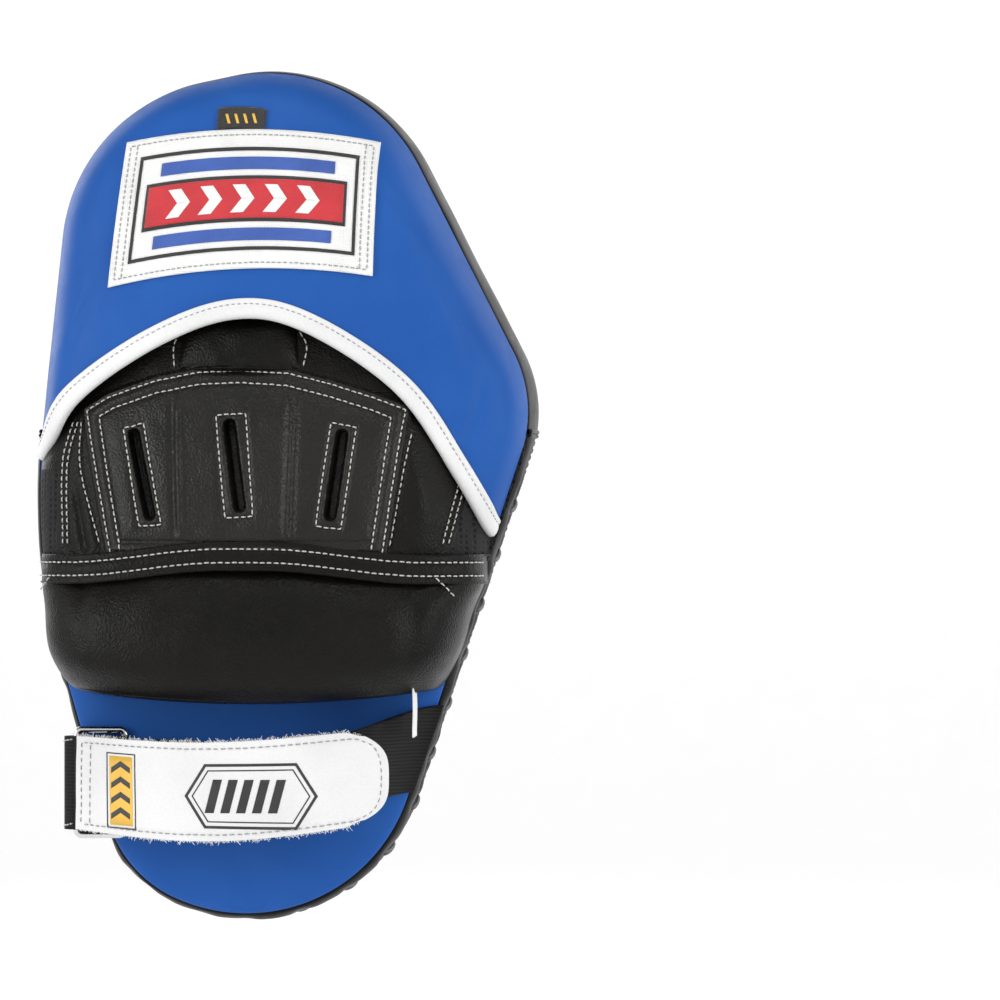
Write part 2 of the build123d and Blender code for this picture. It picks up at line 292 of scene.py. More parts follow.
def stitches(name, rows, material, body="root", pitch=2.7, gap=0.8, radius=0.3, lift=0.2, slot=None):
    """Rows of sewn stitches along paths with normals. Each stitch dips at both ends."""
    paths, ups = [], []
    random = np.random.RandomState(7)
    for path, normal in rows:
        path, normal = np.asarray(path, float), np.asarray(normal, float)
        steps = np.r_[0, np.cumsum(np.linalg.norm(np.diff(path, axis=0), axis=1))]
        count = max(1, int(steps[-1] / pitch))
        for k in range(count):
            start = steps[-1] * k / count + gap / 2
            end = steps[-1] * (k + 1) / count - gap / 2 + random.uniform(-0.12, 0.12)
            at = np.linspace(start, end, 5)
            place = np.stack([np.interp(at, steps, path[:, c]) for c in range(3)], 1)
            out = np.stack([np.interp(at, steps, normal[:, c]) for c in range(3)], 1)
            sag = np.array([-0.55, 0.15, 0.3, 0.15, -0.55])[:, None] * radius * 1.6
            side = random.uniform(-0.1, 0.1)
            paths.append(place + out * (lift + sag) + side * np.cross(out, place[-1] - place[0]) / 3)
            ups.append(out)
    return tubes(name, paths, radius, material, body, slot, sides=6, normals=ups)


# ------------------------------------------------------------------ materials

class Nodes:
    """A small builder for one node material."""

    def __init__(self, name):
        self.material = bpy.data.materials.new(name)
        self.material.use_nodes = True
        self.tree = self.material.node_tree
        self.shader = self.tree.nodes["Principled BSDF"]

    def add(self, kind, **values):
        node = self.tree.nodes.new(kind)
        for key, value in values.items():
            if hasattr(node, key):
                setattr(node, key, value)
            else:
                node.inputs[key].default_value = value
        return node

    def link(self, source, target, output=0):
        self.tree.links.new(source.outputs[output], target)

    def place(self, scale=(1, 1, 1)):
        """Coordinates in metres, in the mitt's own frame."""
        where = self.add("ShaderNodeTexCoord")
        mapping = self.add("ShaderNodeMapping")
        mapping.inputs["Scale"].default_value = scale
        self.link(where, mapping.inputs["Vector"], "Object")
        return mapping

    def ramp(self, source, stops, output=0):
        node = self.add("ShaderNodeValToRGB")
        while len(node.color_ramp.elements) < len(stops):
            node.color_ramp.elements.new(0.5)
        for element, (place, value) in zip(node.color_ramp.elements, stops):
            element.position = place
            element.color = (*value, 1) if isinstance(value, tuple) else (value, value, value, 1)
        self.link(source, node.inputs["Fac"], output)
        return node

    def bump(self, source, strength, distance, after=None, output=0):
        node = self.add("ShaderNodeBump", Strength=strength, Distance=distance)
        self.link(source, node.inputs["Height"], output)
        if after is not None:
            self.link(after, node.inputs["Normal"])
        return node


def set_shader(nodes, roughness=None, specular=0.5, sheen=0.0, metallic=0.0):
    sockets = nodes.shader.inputs
    if roughness is not None:
        sockets["Roughness"].default_value = roughness
    sockets["Specular IOR Level"].default_value = specular
    sockets["Sheen Weight"].default_value = sheen
    sockets["Metallic"].default_value = metallic


def leather(name, dark, light, grain=1500, depth=0.00012, strength=0.35, rough=(0.34, 0.5), crease=0.15,
            specular=0.5):
    """Grained leather: pebbles, fine pores, faint creases and uneven gloss."""
    n = Nodes(name)
    place = n.place()
    pebble = n.add("ShaderNodeTexVoronoi", feature="SMOOTH_F1", Scale=grain, Randomness=1.0)
    pebble.inputs["Smoothness"].default_value = 0.4
    n.link(place, pebble.inputs["Vector"])
    pores = n.add("ShaderNodeTexNoise", Scale=grain * 2.4, Detail=3.0, Roughness=0.6)
    n.link(place, pores.inputs["Vector"])
    folds = n.add("ShaderNodeTexNoise", Scale=90, Detail=5.0, Roughness=0.62, Distortion=0.8)
    n.link(place, folds.inputs["Vector"])
    cloud = n.add("ShaderNodeTexNoise", Scale=22, Detail=3.0, Roughness=0.5)
    n.link(place, cloud.inputs["Vector"])
    first = n.bump(folds, crease, 0.0008)
    second = n.bump(pebble, strength, depth, first)
    third = n.bump(pores, strength * 0.5, depth * 0.5, second)
    n.link(third, n.shader.inputs["Normal"])
    tone = n.ramp(cloud, [(0.35, dark), (0.68, light)])
    valley = n.ramp(pebble, [(0.0, 1.0), (0.75, 0.86)])
    mix = n.add("ShaderNodeMix", data_type="RGBA", blend_type="MULTIPLY")
    mix.inputs["Factor"].default_value = 0.6
    n.link(tone, mix.inputs["A"])
    n.link(valley, mix.inputs["B"])
    n.link(mix, n.shader.inputs["Base Color"], "Result")
    gloss = n.ramp(folds, [(0.3, rough[0]), (0.7, rough[1])])
    n.link(gloss, n.shader.inputs["Roughness"])
    set_shader(n, specular=specular)
    return n.material


def fabric(name, dark, light, threads=1400, strength=0.5, rough=0.8, sheen=0.2):
    """Woven cloth: two crossed waves of thread with a little unevenness."""
    n = Nodes(name)
    place = n.place()
    waves = []
    for axis in "XZ":
        wave = n.add("ShaderNodeTexWave", Scale=threads / 6.28, Distortion=0.6, bands_direction=axis)
        n.link(place, wave.inputs["Vector"])
        waves.append(wave)
    mix = n.add("ShaderNodeMath", operation="MULTIPLY")
    n.link(waves[0], mix.inputs[0], "Fac")
    n.link(waves[1], mix.inputs[1], "Fac")
    cloud = n.add("ShaderNodeTexNoise", Scale=60, Detail=4.0)
    n.link(place, cloud.inputs["Vector"])
    tone = n.ramp(cloud, [(0.3, dark), (0.7, light)])
    n.link(tone, n.shader.inputs["Base Color"])
    n.link(n.bump(mix, strength, 0.0003), n.shader.inputs["Normal"])
    set_shader(n, roughness=rough, sheen=sheen)
    return n.material


def mesh_cloth(name):
    """Sports mesh: round holes in a knitted black cloth, with painted shade in the holes."""
    n = Nodes(name)
    place = n.place((1, 0.35, 1))
    holes = n.add("ShaderNodeTexVoronoi", feature="F1", Scale=420, Randomness=0.12)
    n.link(place, holes.inputs["Vector"])
    # Painted shade: the holes are coloured near-black, darker than the cloth round them.
    tone = n.ramp(holes, [(0.22, 0.001), (0.42, (0.014, 0.014, 0.015)), (0.9, (0.006, 0.006, 0.007))])
    n.link(tone, n.shader.inputs["Base Color"])
    height = n.ramp(holes, [(0.2, 0.0), (0.45, 1.0)])
    n.link(n.bump(height, 0.9, 0.0006), n.shader.inputs["Normal"])
    set_shader(n, roughness=0.75, specular=0.2)
    return n.material


def elastic(name):
    """Ribbed elastic webbing: fine ribs across and a faint weave."""
    n = Nodes(name)
    place = n.place()
    ribs = n.add("ShaderNodeTexWave", Scale=700 / 6.28 * 2, Distortion=0.3, bands_direction="Z")
    n.link(place, ribs.inputs["Vector"])
    weave = n.add("ShaderNodeTexNoise", Scale=2600, Detail=2.0)
    n.link(place, weave.inputs["Vector"])
    tone = n.ramp(ribs, [(0.1, (0.003, 0.003, 0.003)), (0.7, (0.010, 0.010, 0.0105))], "Fac")
    n.link(tone, n.shader.inputs["Base Color"])
    first = n.bump(ribs, 0.6, 0.0004, output="Fac")
    n.link(n.bump(weave, 0.3, 0.0002, first), n.shader.inputs["Normal"])
    set_shader(n, roughness=0.75, specular=0.25)
    return n.material


def thread(name, dark, light):
    """Twisted sewing thread."""
    n = Nodes(name)
    place = n.place((1, 1, 1))
    twist = n.add("ShaderNodeTexWave", Scale=520, Distortion=1.5, bands_direction="DIAGONAL")
    n.link(place, twist.inputs["Vector"])
    n.link(n.ramp(twist, [(0.2, dark), (0.8, light)], "Fac"), n.shader.inputs["Base Color"])
    n.link(n.bump(twist, 0.5, 0.0001, output="Fac"), n.shader.inputs["Normal"])
    set_shader(n, roughness=0.6, sheen=0.1)
    return n.material


def metal(name):
    """Bright plated wire with fine drawn scratches."""
    n = Nodes(name)
    place = n.place((1, 1, 0.08))
    scratch = n.add("ShaderNodeTexNoise", Scale=4000, Detail=3.0)
    n.link(place, scratch.inputs["Vector"])
    tone = n.ramp(scratch, [(0.3, (0.52, 0.52, 0.53)), (0.7, (0.72, 0.72, 0.73))])
    n.link(tone, n.shader.inputs["Base Color"])
    n.link(n.ramp(scratch, [(0.3, 0.14), (0.7, 0.28)]), n.shader.inputs["Roughness"])
    set_shader(n, metallic=1.0)
    return n.material


def foam(name, colour, darker):
    """Closed-cell foam."""
    n = Nodes(name)
    place = n.place()
    cells = n.add("ShaderNodeTexVoronoi", feature="F1", Scale=1600)
    n.link(place, cells.inputs["Vector"])
    n.link(n.ramp(cells, [(0.1, darker), (0.6, colour)]), n.shader.inputs["Base Color"])
    n.link(n.bump(cells, 0.5, 0.0003), n.shader.inputs["Normal"])
    set_shader(n, roughness=0.85)
    return n.material


BLUE = leather("blue_leather", (0.0135, 0.078, 0.315), (0.018, 0.093, 0.352), grain=1900, depth=0.00008,
               strength=0.22, rough=(0.40, 0.52), crease=0.08, specular=0.09)
BLACK = leather("black_leather", (0.0030, 0.0026, 0.0022), (0.0056, 0.0049, 0.0042), grain=1150, depth=0.0003,
                strength=0.75, rough=(0.27, 0.40), crease=0.22, specular=0.135)
KNUCKLE_BLACK = leather("knuckle_leather", (0.0046, 0.0040, 0.0034), (0.0084, 0.0073, 0.0062), grain=1150,
                        depth=0.0003, strength=0.75, rough=(0.28, 0.42), crease=0.22, specular=0.26)
GUSSET_BLACK = leather("gusset_leather", (0.004, 0.004, 0.0042), (0.007, 0.007, 0.0072), grain=1700,
                       depth=0.00012, strength=0.3, rough=(0.26, 0.38), crease=0.12, specular=0.09)
WHITE = leather("white_leather", (0.635, 0.64, 0.635), (0.71, 0.715, 0.71), grain=1700, depth=0.0001,
                strength=0.25, rough=(0.38, 0.5), crease=0.1, specular=0.4)
LINING = fabric("black_lining", (0.006, 0.006, 0.006), (0.014, 0.014, 0.014), rough=0.85)
MESH = mesh_cloth("black_mesh")
ELASTIC = elastic("black_elastic")
WHITE_THREAD = thread("white_thread", (0.34, 0.33, 0.31), (0.56, 0.55, 0.52))
GREY_THREAD = thread("grey_thread", (0.20, 0.20, 0.20), (0.38, 0.38, 0.38))
BLACK_THREAD = thread("black_thread", (0.004, 0.004, 0.004), (0.012, 0.012, 0.012))
CORD = leather("black_cord", (0.006, 0.006, 0.006), (0.012, 0.012, 0.012), grain=1800, rough=(0.28, 0.4))
STEEL = metal("bright_wire")
FOAM = foam("grey_foam", (0.20, 0.20, 0.21), (0.12, 0.12, 0.13))
GEL = foam("blue_gel", (0.05, 0.20, 0.50), (0.03, 0.14, 0.42))
FUZZ = thread("loop_fuzz", (0.62, 0.62, 0.62), (0.85, 0.85, 0.85))
HOOK = fabric("hook_tape", (0.008, 0.008, 0.008), (0.02, 0.02, 0.02), threads=3200, strength=0.9, rough=0.75)
PATCH_WHITE = fabric("patch_white", (0.66, 0.66, 0.65), (0.76, 0.76, 0.75),
                     threads=2600, strength=0.6, rough=0.7)
PATCH_RED = fabric("patch_red", (0.42, 0.012, 0.018), (0.55, 0.02, 0.03),
                   threads=2600, strength=0.7, rough=0.65)
PATCH_BLUE = fabric("patch_blue", (0.02, 0.07, 0.30), (0.035, 0.10, 0.40),
                    threads=2600, strength=0.7, rough=0.65)
PATCH_BLACK = fabric("patch_black", (0.008, 0.008, 0.009), (0.02, 0.02, 0.022),
                     threads=2600, strength=0.7, rough=0.7)
PRINT_BLACK = fabric("print_black", (0.01, 0.01, 0.01), (0.018, 0.018, 0.018),
                     threads=900, strength=0.1, rough=0.5)
PRINT_GOLD = fabric("print_gold", (0.62, 0.36, 0.03), (0.72, 0.43, 0.05),
                    threads=900, strength=0.1, rough=0.5)


# ------------------------------------------------------------------ the pad

def lace_places():
    """Rim indices of the lace ties: the laced stretch runs round the bottom from one side to the other."""
    laced = (RIM[:, 1] < np.where(RIM[:, 0] > 0, LACE_TOP_THUMB_Z, LACE_TOP_FINGER_Z))
    index = np.flatnonzero(laced)
    return index, index[0] + (np.arange(LACE_COUNT) + 0.5) * len(index) / LACE_COUNT


LACED, TIES = lace_places()


def near_tie(index):
    """1 at a lace tie, 0 halfway between two."""
    gap = np.abs((np.asarray(index, float)[:, None] - TIES[None]))
    return np.exp(-(gap.min(1) * RIM_STEP / 3.6) ** 2)


def laced_weight(index):
    """1 inside the laced stretch, fading to 0 past its ends."""
    index = np.asarray(index, float)
    return smooth(index, LACED[0] - 14, LACED[0] + 6) * smooth(-index, -LACED[-1] - 14, -LACED[-1] + 6)


def face_panel():
    """The striking face: a crowned sheet that rounds over the edge and is sewn to the gusset."""
    rings = [(1.4, 38.2), (0.3, 38.5), (0.0, 39.3), (0.35, 40.3), (1.2, 41.3), (2.6, 42.1), (4.6, 42.7),
             (7.5, 43.1), (12, 43.5), (18, 43.8), (26, 44.0), (36, 44.1)]
    grid = []
    for inset, depth in rings:
        ring = rim_points(inset, depth)
        plan = noise2(ring[:, 0], ring[:, 2], 38, 3) * 0.25 * smooth(inset, 2, 14)
        ring[:, 1] += plan
        grid.append(ring)
    centre = np.array([8.0, 0.0, 6.0])
    last = grid[-1]
    for scale in np.linspace(0.93, 0.0, 15):
        plan = centre + (last - centre) * scale
        height = 44.1 + 0.5 * (1 - scale)
        y = bent_y(plan[:, 2], height) + noise2(plan[:, 0], plan[:, 2], 38, 3) * 0.25
        grid.append(np.stack([plan[:, 0], y, plan[:, 2]], 1))
    grid = np.stack(grid, 1)
    piece = sealed_rings("face_panel", grid, BLUE, "blue_leather")
    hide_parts("face_panel")


def sealed_rings(name, grid, material, slot, thickness=1.4):
    """A sheet of closed rings that shrink to one point, with a back a little inside it."""
    count, depth = grid.shape[:2]
    normal = grid_normals(grid, True)
    middle = grid[:, -4:].mean((0, 1))
    if (normal[:, depth // 2, 1].mean() > 0) != (middle[1] > PAD_BACK_Y + 20):
        normal = -normal
    normal[:, -1] = [0, np.sign(normal[:, depth // 2, 1].mean()), 0]
    back = grid - normal * thickness
    points = np.concatenate([grid.reshape(-1, 3), back.reshape(-1, 3)])
    faces = quads(count, depth, True)
    edge = np.arange(count) * depth
    nxt = np.roll(edge, -1)
    rim = np.stack([edge, nxt, nxt + count * depth, edge + count * depth], 1)
    return make_mesh(name, points, np.concatenate([faces, faces[:, ::-1] + count * depth, rim]), material,
                     "root", slot)


def back_panel():
    """The hand side of the pad: a sheet that is a little crowned between the hood, the cuff and its edge."""
    rings = [(1.4, 2.6), (0.2, 1.6), (0.2, 0.7), (1.2, -0.2), (3.2, -0.9), (6.5, -1.5), (11, -1.9),
             (18, -2.1), (28, -2.1), (38, -2.0)]
    grid = [rim_points(inset, depth) for inset, depth in rings]
    centre = np.array([8.0, 0.0, 6.0])
    last = grid[-1]
    for scale in np.linspace(0.9, 0.0, 11):
        plan = centre + (last - centre) * scale
        grid.append(np.stack([plan[:, 0], bent_y(plan[:, 2], -1.2), plan[:, 2]], 1))
    piece = sealed_rings("back_panel", np.stack(grid, 1), BLUE, "blue_leather")
    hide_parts("back_panel")


def gusset_strip(name, index, depths, bulge, puckers=0.0, puckered_edge=None, replaces=()):
    """A stretch of the side band between two depths. Its slit edge, if any, is drawn in at the lace ties."""
    index = np.asarray(index)
    rows = np.linspace(0, 1, 22)
    place = index % RIM_COUNT
    tie = near_tie(index) * laced_weight(index)
    laced = laced_weight(index)
    grid = []
    for row in rows:
        depth = depths[0] + (depths[1] - depths[0]) * row * np.ones(len(index))
        edge = row if puckered_edge == "high" else 1 - row
        out = bulge * np.sin(math.pi * row) ** 0.6
        if puckers:
            near = np.clip(edge, 0, 1) ** 2
            pull = (1 - tie) * laced * near * 1.5
            depth = depth + (-pull if puckered_edge == "high" else pull)
            out = out - tie * near * 1.1 + (1 - tie) * laced * edge**1.5 * (1 - edge) * 2.2
            fold = noise2(index * RIM_STEP, depth, 5.5, 21)
            out = out + puckers * fold * (0.25 + 0.75 * edge) * laced
        out = out + 0.22 * noise2(index * RIM_STEP, depth * np.ones(len(index)), 19, 5)
        plan = RIM[place] + RIM_NORMAL[place] * np.reshape(out, (-1, 1))
        grid.append(np.stack([plan[:, 0], bent_y(plan[:, 1], depth), plan[:, 1]], 1))
    grid = np.stack(grid, 1)
    flip = needs_flip(grid, RIM_NORMAL[place])
    piece = shell(name, grid, 1.3, GUSSET_BLACK, slot="black_leather", flip=flip)
    if replaces:
        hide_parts(*replaces)


def needs_flip(grid, outward):
    normal = grid_normals(grid)[:, grid.shape[1] // 2]
    return float((normal[:, 0] * outward[:, 0] + normal[:, 2] * outward[:, 1]).mean()) < 0


def gusset():
    lower = RIM[:, 1] < CROSS_SEAM_Z
    first = int(np.flatnonzero(lower)[0])
    last = int(np.flatnonzero(lower)[-1])
    upper_index = np.arange(last + 1, first + RIM_COUNT)
    lower_index = np.arange(first, last + 1)
    gusset_strip("upper_gusset", upper_index, (BACK_SEAM, FACE_SEAM), 2.2, replaces=["upper_gusset"])
    gusset_strip("lower_gusset_front", lower_index, (SLIT[1], FACE_SEAM), 1.3, 0.55, "low")
    gusset_strip("lower_gusset_back", lower_index, (BACK_SEAM, SLIT[0]), 2.4, 0.7, "high", ["lower_gusset"])
    cross_seams(first, last)
    closed_index = np.r_[np.arange(first, LACED[0] - 5), np.arange(LACED[-1] + 6, last + 1)]
    for number, index in enumerate(np.split(closed_index, np.flatnonzero(np.diff(closed_index) > 1) + 1)):
        gusset_strip(f"slit_cover_{number}", index, (SLIT[0] - 0.6, SLIT[1] + 0.6), 0.5)
    lace_binding()
    laces()
    edge_seams()


def cross_seams(first, last):
    """The two seams where the smooth upper band meets the laced lower band: a raised lapped edge."""
    for number, index in enumerate((first, last)):
        depth = np.linspace(1.6, 38.2, 30)
        paths = []
        for shift in (-1, 1):
            place = (index + shift) % RIM_COUNT
            plan = RIM[place] + RIM_NORMAL[place] * 1.0
            bulge = 0.9 * np.sin(np.linspace(0, math.pi, 30)) ** 0.6
            plan = plan[None] + RIM_NORMAL[place][None] * bulge[:, None]
            paths.append(np.stack([plan[:, 0], bent_y(plan[:, 1], depth), plan[:, 1]], 1))
        tubes(f"cross_seam_{number}", paths, 0.9, GUSSET_BLACK, slot="black_leather")


def lace_binding():
    """The white strip in the slit: folded leather in long ribs, fuller between the ties."""
    index = np.arange(LACED[0] - 4, LACED[-1] + 5)
    rows = np.linspace(0, 1, 34)
    grid = []
    swell = (1 - near_tie(index)) * laced_weight(index)
    for row in rows:
        depth = SLIT[0] - 1.6 + (SLIT[1] - SLIT[0] + 3.2) * row
        ribs = 0.55 * np.abs(np.sin(math.pi * 3 * row)) ** 0.55
        out = -0.9 + 1.7 * math.sin(math.pi * row) * swell + ribs
        out = out + 0.15 * noise2(index * RIM_STEP, np.full(len(index), depth), 4.0, 9)
        plan = RIM[index] + RIM_NORMAL[index] * out[:, None]
        grid.append(np.stack([plan[:, 0], bent_y(plan[:, 1], depth), plan[:, 1]], 1))
    grid = np.stack(grid, 1)
    flip = needs_flip(grid, RIM_NORMAL[index])
    piece = shell("lace_binding", grid, 1.2, WHITE, slot="white_leather", flip=flip)
    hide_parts("lace_binding")


def rim_at(index):
    """Plan point and outward normal at a fractional rim index."""
    low = int(math.floor(index)) % RIM_COUNT
    part = index - math.floor(index)
    high = (low + 1) % RIM_COUNT
    return RIM[low] * (1 - part) + RIM[high] * part, RIM_NORMAL[low] * (1 - part) + RIM_NORMAL[high] * part


def laces():
    """Round laces over the slit, leaning along it, with their ends going down through the leather."""
    profile = [(-7.6, -1.4), (-7.1, 0.3), (-6.0, 1.4), (-3.0, 2.1), (0, 2.3), (3.0, 2.1), (6.0, 1.4),
               (7.1, 0.3), (7.6, -1.4)]
    paths, ups = [], []
    middle = sum(SLIT) / 2
    for tie in TIES:
        path, up = [], []
        for along, out in profile:
            shift = along * math.tan(math.radians(20)) / RIM_STEP
            plan, normal = rim_at(tie - shift)
            place = plan + normal * out
            path.append((place[0], float(bent_y(place[1], middle + along)), place[1]))
            up.append((normal[0], 0.0, normal[1]))
        paths.append(resample(path, 15))
        ups.append(resample(up, 15))
    piece = tubes("gusset_lace", paths, 1.2, CORD, slot="black_cord", sides=10, normals=ups)
    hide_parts("gusset_lace")


def edge_seams():
    """Fine black stitches along the face seam."""
    path = rim_points(-0.75, FACE_SEAM - 0.8)
    normal = np.stack([RIM_NORMAL[:, 0], np.zeros(RIM_COUNT), RIM_NORMAL[:, 1]], 1)
    row = (np.vstack([path, path[:1]]), np.vstack([normal, normal[:1]]))
    stitches("edge_stitches", [row], BLACK_THREAD, pitch=3.0, gap=0.9, radius=0.2, slot="black_cord")


# ------------------------------------------------------------------ the hood

def lip_curve(count):
    """The hood's arched lip, from the little-finger side to the thumb side, cut at the pad's edge."""
    curve = smooth_curve(LIP, 600)
    inside = signed_distance(curve[:, 0], curve[:, 1], RIM_COARSE) > 0.6
    return resample(curve[inside], count)


def upper_rim(start, end, count):
    """The rim from one plan point over the top to another."""
    a = int(np.argmin(np.hypot(*(RIM - start).T)))
    b = int(np.argmin(np.hypot(*(RIM - end).T)))
    index = np.arange(a, b + RIM_COUNT if b < a else b + 1) % RIM_COUNT
    return resample(RIM[index], count)


def hood_wrinkles(x, z):
    """Soft folds that run up from both ends of the lip."""
    out = np.zeros(np.shape(x))
    for cx, cz, angle, length, width, height in (
            (66, 104, 128, 34, 3.4, 1.5), (72, 96, 128, 30, 2.8, -1.1), (80, 74, 118, 24, 3.0, 1.0),
            (86, 64, 118, 20, 2.6, -0.7), (88, 34, 70, 26, 3.0, 0.9), (94, 44, 78, 24, 2.4, -0.6),
            (-71, 62, 66, 26, 3.0, 1.1), (-64, 70, 62, 24, 2.6, -0.8), (-76, 46, 96, 18, 2.6, 0.7),
            (58, 124, 140, 20, 3.0, 0.8)):
        a = math.radians(angle)
        along = (x - cx) * math.cos(a) + (z - cz) * math.sin(a)
        across = -(x - cx) * math.sin(a) + (z - cz) * math.cos(a)
        out += height * np.exp(-(along / length * 1.6) ** 2 - (across / width) ** 2)
    return out + 0.35 * noise2(x, z, 26, 11) + 0.12 * noise2(x, z, 9, 12)


def hood():
    columns, rows = 300, 90
    lip = lip_curve(columns)
    rim = upper_rim(lip[0], lip[-1], columns)
    part = (np.linspace(0, 1, rows) ** 1.6)[None, :, None]
    plan = rim[:, None] * (1 - part) + lip[:, None] * part
    x, z = plan[..., 0], plan[..., 1]
    inside = np.maximum(signed_distance(x, z, RIM_COARSE), 0)
    y = hood_y(x, z) - hood_wrinkles(x, z) * smooth(inside, 2, 16)
    grid = np.stack([x, y, z], -1)
    flip = float(grid_normals(grid)[columns // 2, rows // 2, 1]) > 0
    piece = shell("finger_hood", grid, 1.7, BLUE, slot="blue_leather", flip=flip)
    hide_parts("finger_hood")
    normal = grid_normals(grid) * (-1 if flip else 1)
    inner = (grid - normal * 2.0)[2:-2, 3:-1]
    lining = shell("hood_lining", inner, 0.8, LINING, slot="black_lining", flip=flip, round_edge=False)
    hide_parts("hood_lining")
    hood_binding(grid[:, -1], normal[:, -1])


def hood_binding(edge, normal):
    """White leather folded over the lip, with one row of fine stitches nearer its upper edge."""
    tangent = np.gradient(edge, axis=0)
    tangent /= np.linalg.norm(tangent, axis=1)[:, None]
    up = np.cross(normal, tangent)
    up *= np.sign(up[len(up) // 2, 2])
    profile = [(6.5, 0.1), (6.5, 0.6), (6.2, 0.95), (5.3, 1.2), (4.5, 1.0), (4.0, 1.1), (2.4, 1.6),
               (0.8, 1.6), (-0.6, 1.2), (-1.3, 0.2), (-1.5, -1.0), (-1.2, -2.2), (-0.4, -3.2),
               (2.0, -3.7), (4.4, -3.6), (4.5, -3.0), (2.0, -2.9), (0.3, -2.4), (0.3, -0.2), (2.0, 0.1)]
    rings = [edge + up * a + normal * b for a, b in profile]
    grid = np.stack(rings, 1)
    count, sides = grid.shape[:2]
    faces = quads(count, sides, wrap_v=True).tolist()
    faces.append(list(range(sides)))
    faces.append([(count - 1) * sides + k for k in reversed(range(sides))])
    piece = make_mesh("hood_binding", grid.reshape(-1, 3), faces, WHITE, "root", "white_leather")
    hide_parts("hood_binding")
    row = edge + up * 4.3 + normal * 0.95
    stitches("binding_stitches", [(row, normal)], GREY_THREAD, pitch=2.4, gap=0.8, radius=0.22, lift=0.12,
             slot="white_leather")


def on_hood(plan, lift):
    """Points on the hood's surface over a plan grid, with outward normals."""
    x, z = plan[..., 0], plan[..., 1]
    y = hood_y(x, z) - hood_wrinkles(x, z)
    grid = np.stack([x, y, z], -1)
    step = 0.5
    dx = (hood_y(x + step, z) - hood_y(x - step, z)) / (2 * step)
    dz = (hood_y(x, z + step) - hood_y(x, z - step)) / (2 * step)
    normal = np.stack([dx, -np.ones_like(dx), dz], -1)
    normal /= np.linalg.norm(normal, axis=-1)[..., None]
    return grid + normal * lift, normal


def quad_plan(corners, columns, rows, bow=(0, 0)):
    """A plan grid between four corners, clockwise from the top left, with bowed long edges."""
    tl, tr, br, bl = np.array(corners, float)
    u = np.linspace(0, 1, columns)[:, None, None]
    v = np.linspace(0, 1, rows)[None, :, None]
    grid = (tl * (1 - u) + tr * u) * (1 - v) + (bl * (1 - u) + br * u) * v
    arch = 4 * u[..., 0] * (1 - u[..., 0])
    grid[..., 1] += arch * (bow[0] * (1 - v[..., 0]) + bow[1] * v[..., 0])
    return grid


def patch_piece(name, surface, plan, lift, thickness, material, body="root", slot="woven_patch"):
    """A flat piece laid on a surface."""
    grid, normal = surface(plan, lift)
    middle = (grid.shape[0] // 2, grid.shape[1] // 2)
    flip = float((grid_normals(grid)[middle] * normal[middle]).sum()) < 0
    return shell(name, grid, thickness, material, body, slot, flip=flip, round_edge=False)


def joined(name, pieces):
    """Several pieces made into one."""
    with bpy.context.temp_override(active_object=pieces[0], selected_editable_objects=pieces,
                                   selected_objects=pieces):
        bpy.ops.object.join()
    pieces[0].name = name
    return pieces[0]


HOOD_PATCH = [(-45.5, 140.0), (53.5, 139.5), (52.5, 87.0), (-51.5, 83.0)]
PATCH_BOW = (5.0, 5.0)


def in_patch(u, v):
    """Plan point at a fraction of the hood patch's width and height."""
    tl, tr, br, bl = np.array(HOOD_PATCH, float)
    point = (tl * (1 - u) + tr * u) * (1 - v) + (bl * (1 - u) + br * u) * v
    point[1] += 4 * u * (1 - u) * (PATCH_BOW[0] * (1 - v) + PATCH_BOW[1] * v)
    return point


def patch_quad(name, box, material, lift, skew=0.0):
    """A woven block of colour on the hood patch, between fractions of its width and height."""
    u0, u1, v0, v1 = box
    plan = np.array([[in_patch(u0 + (u1 - u0) * a + skew * b, v0 + (v1 - v0) * b)
                      for b in np.linspace(0, 1, 16)] for a in np.linspace(0, 1, 24)])
    return patch_piece(name, on_hood, plan, lift, 0.3, material)


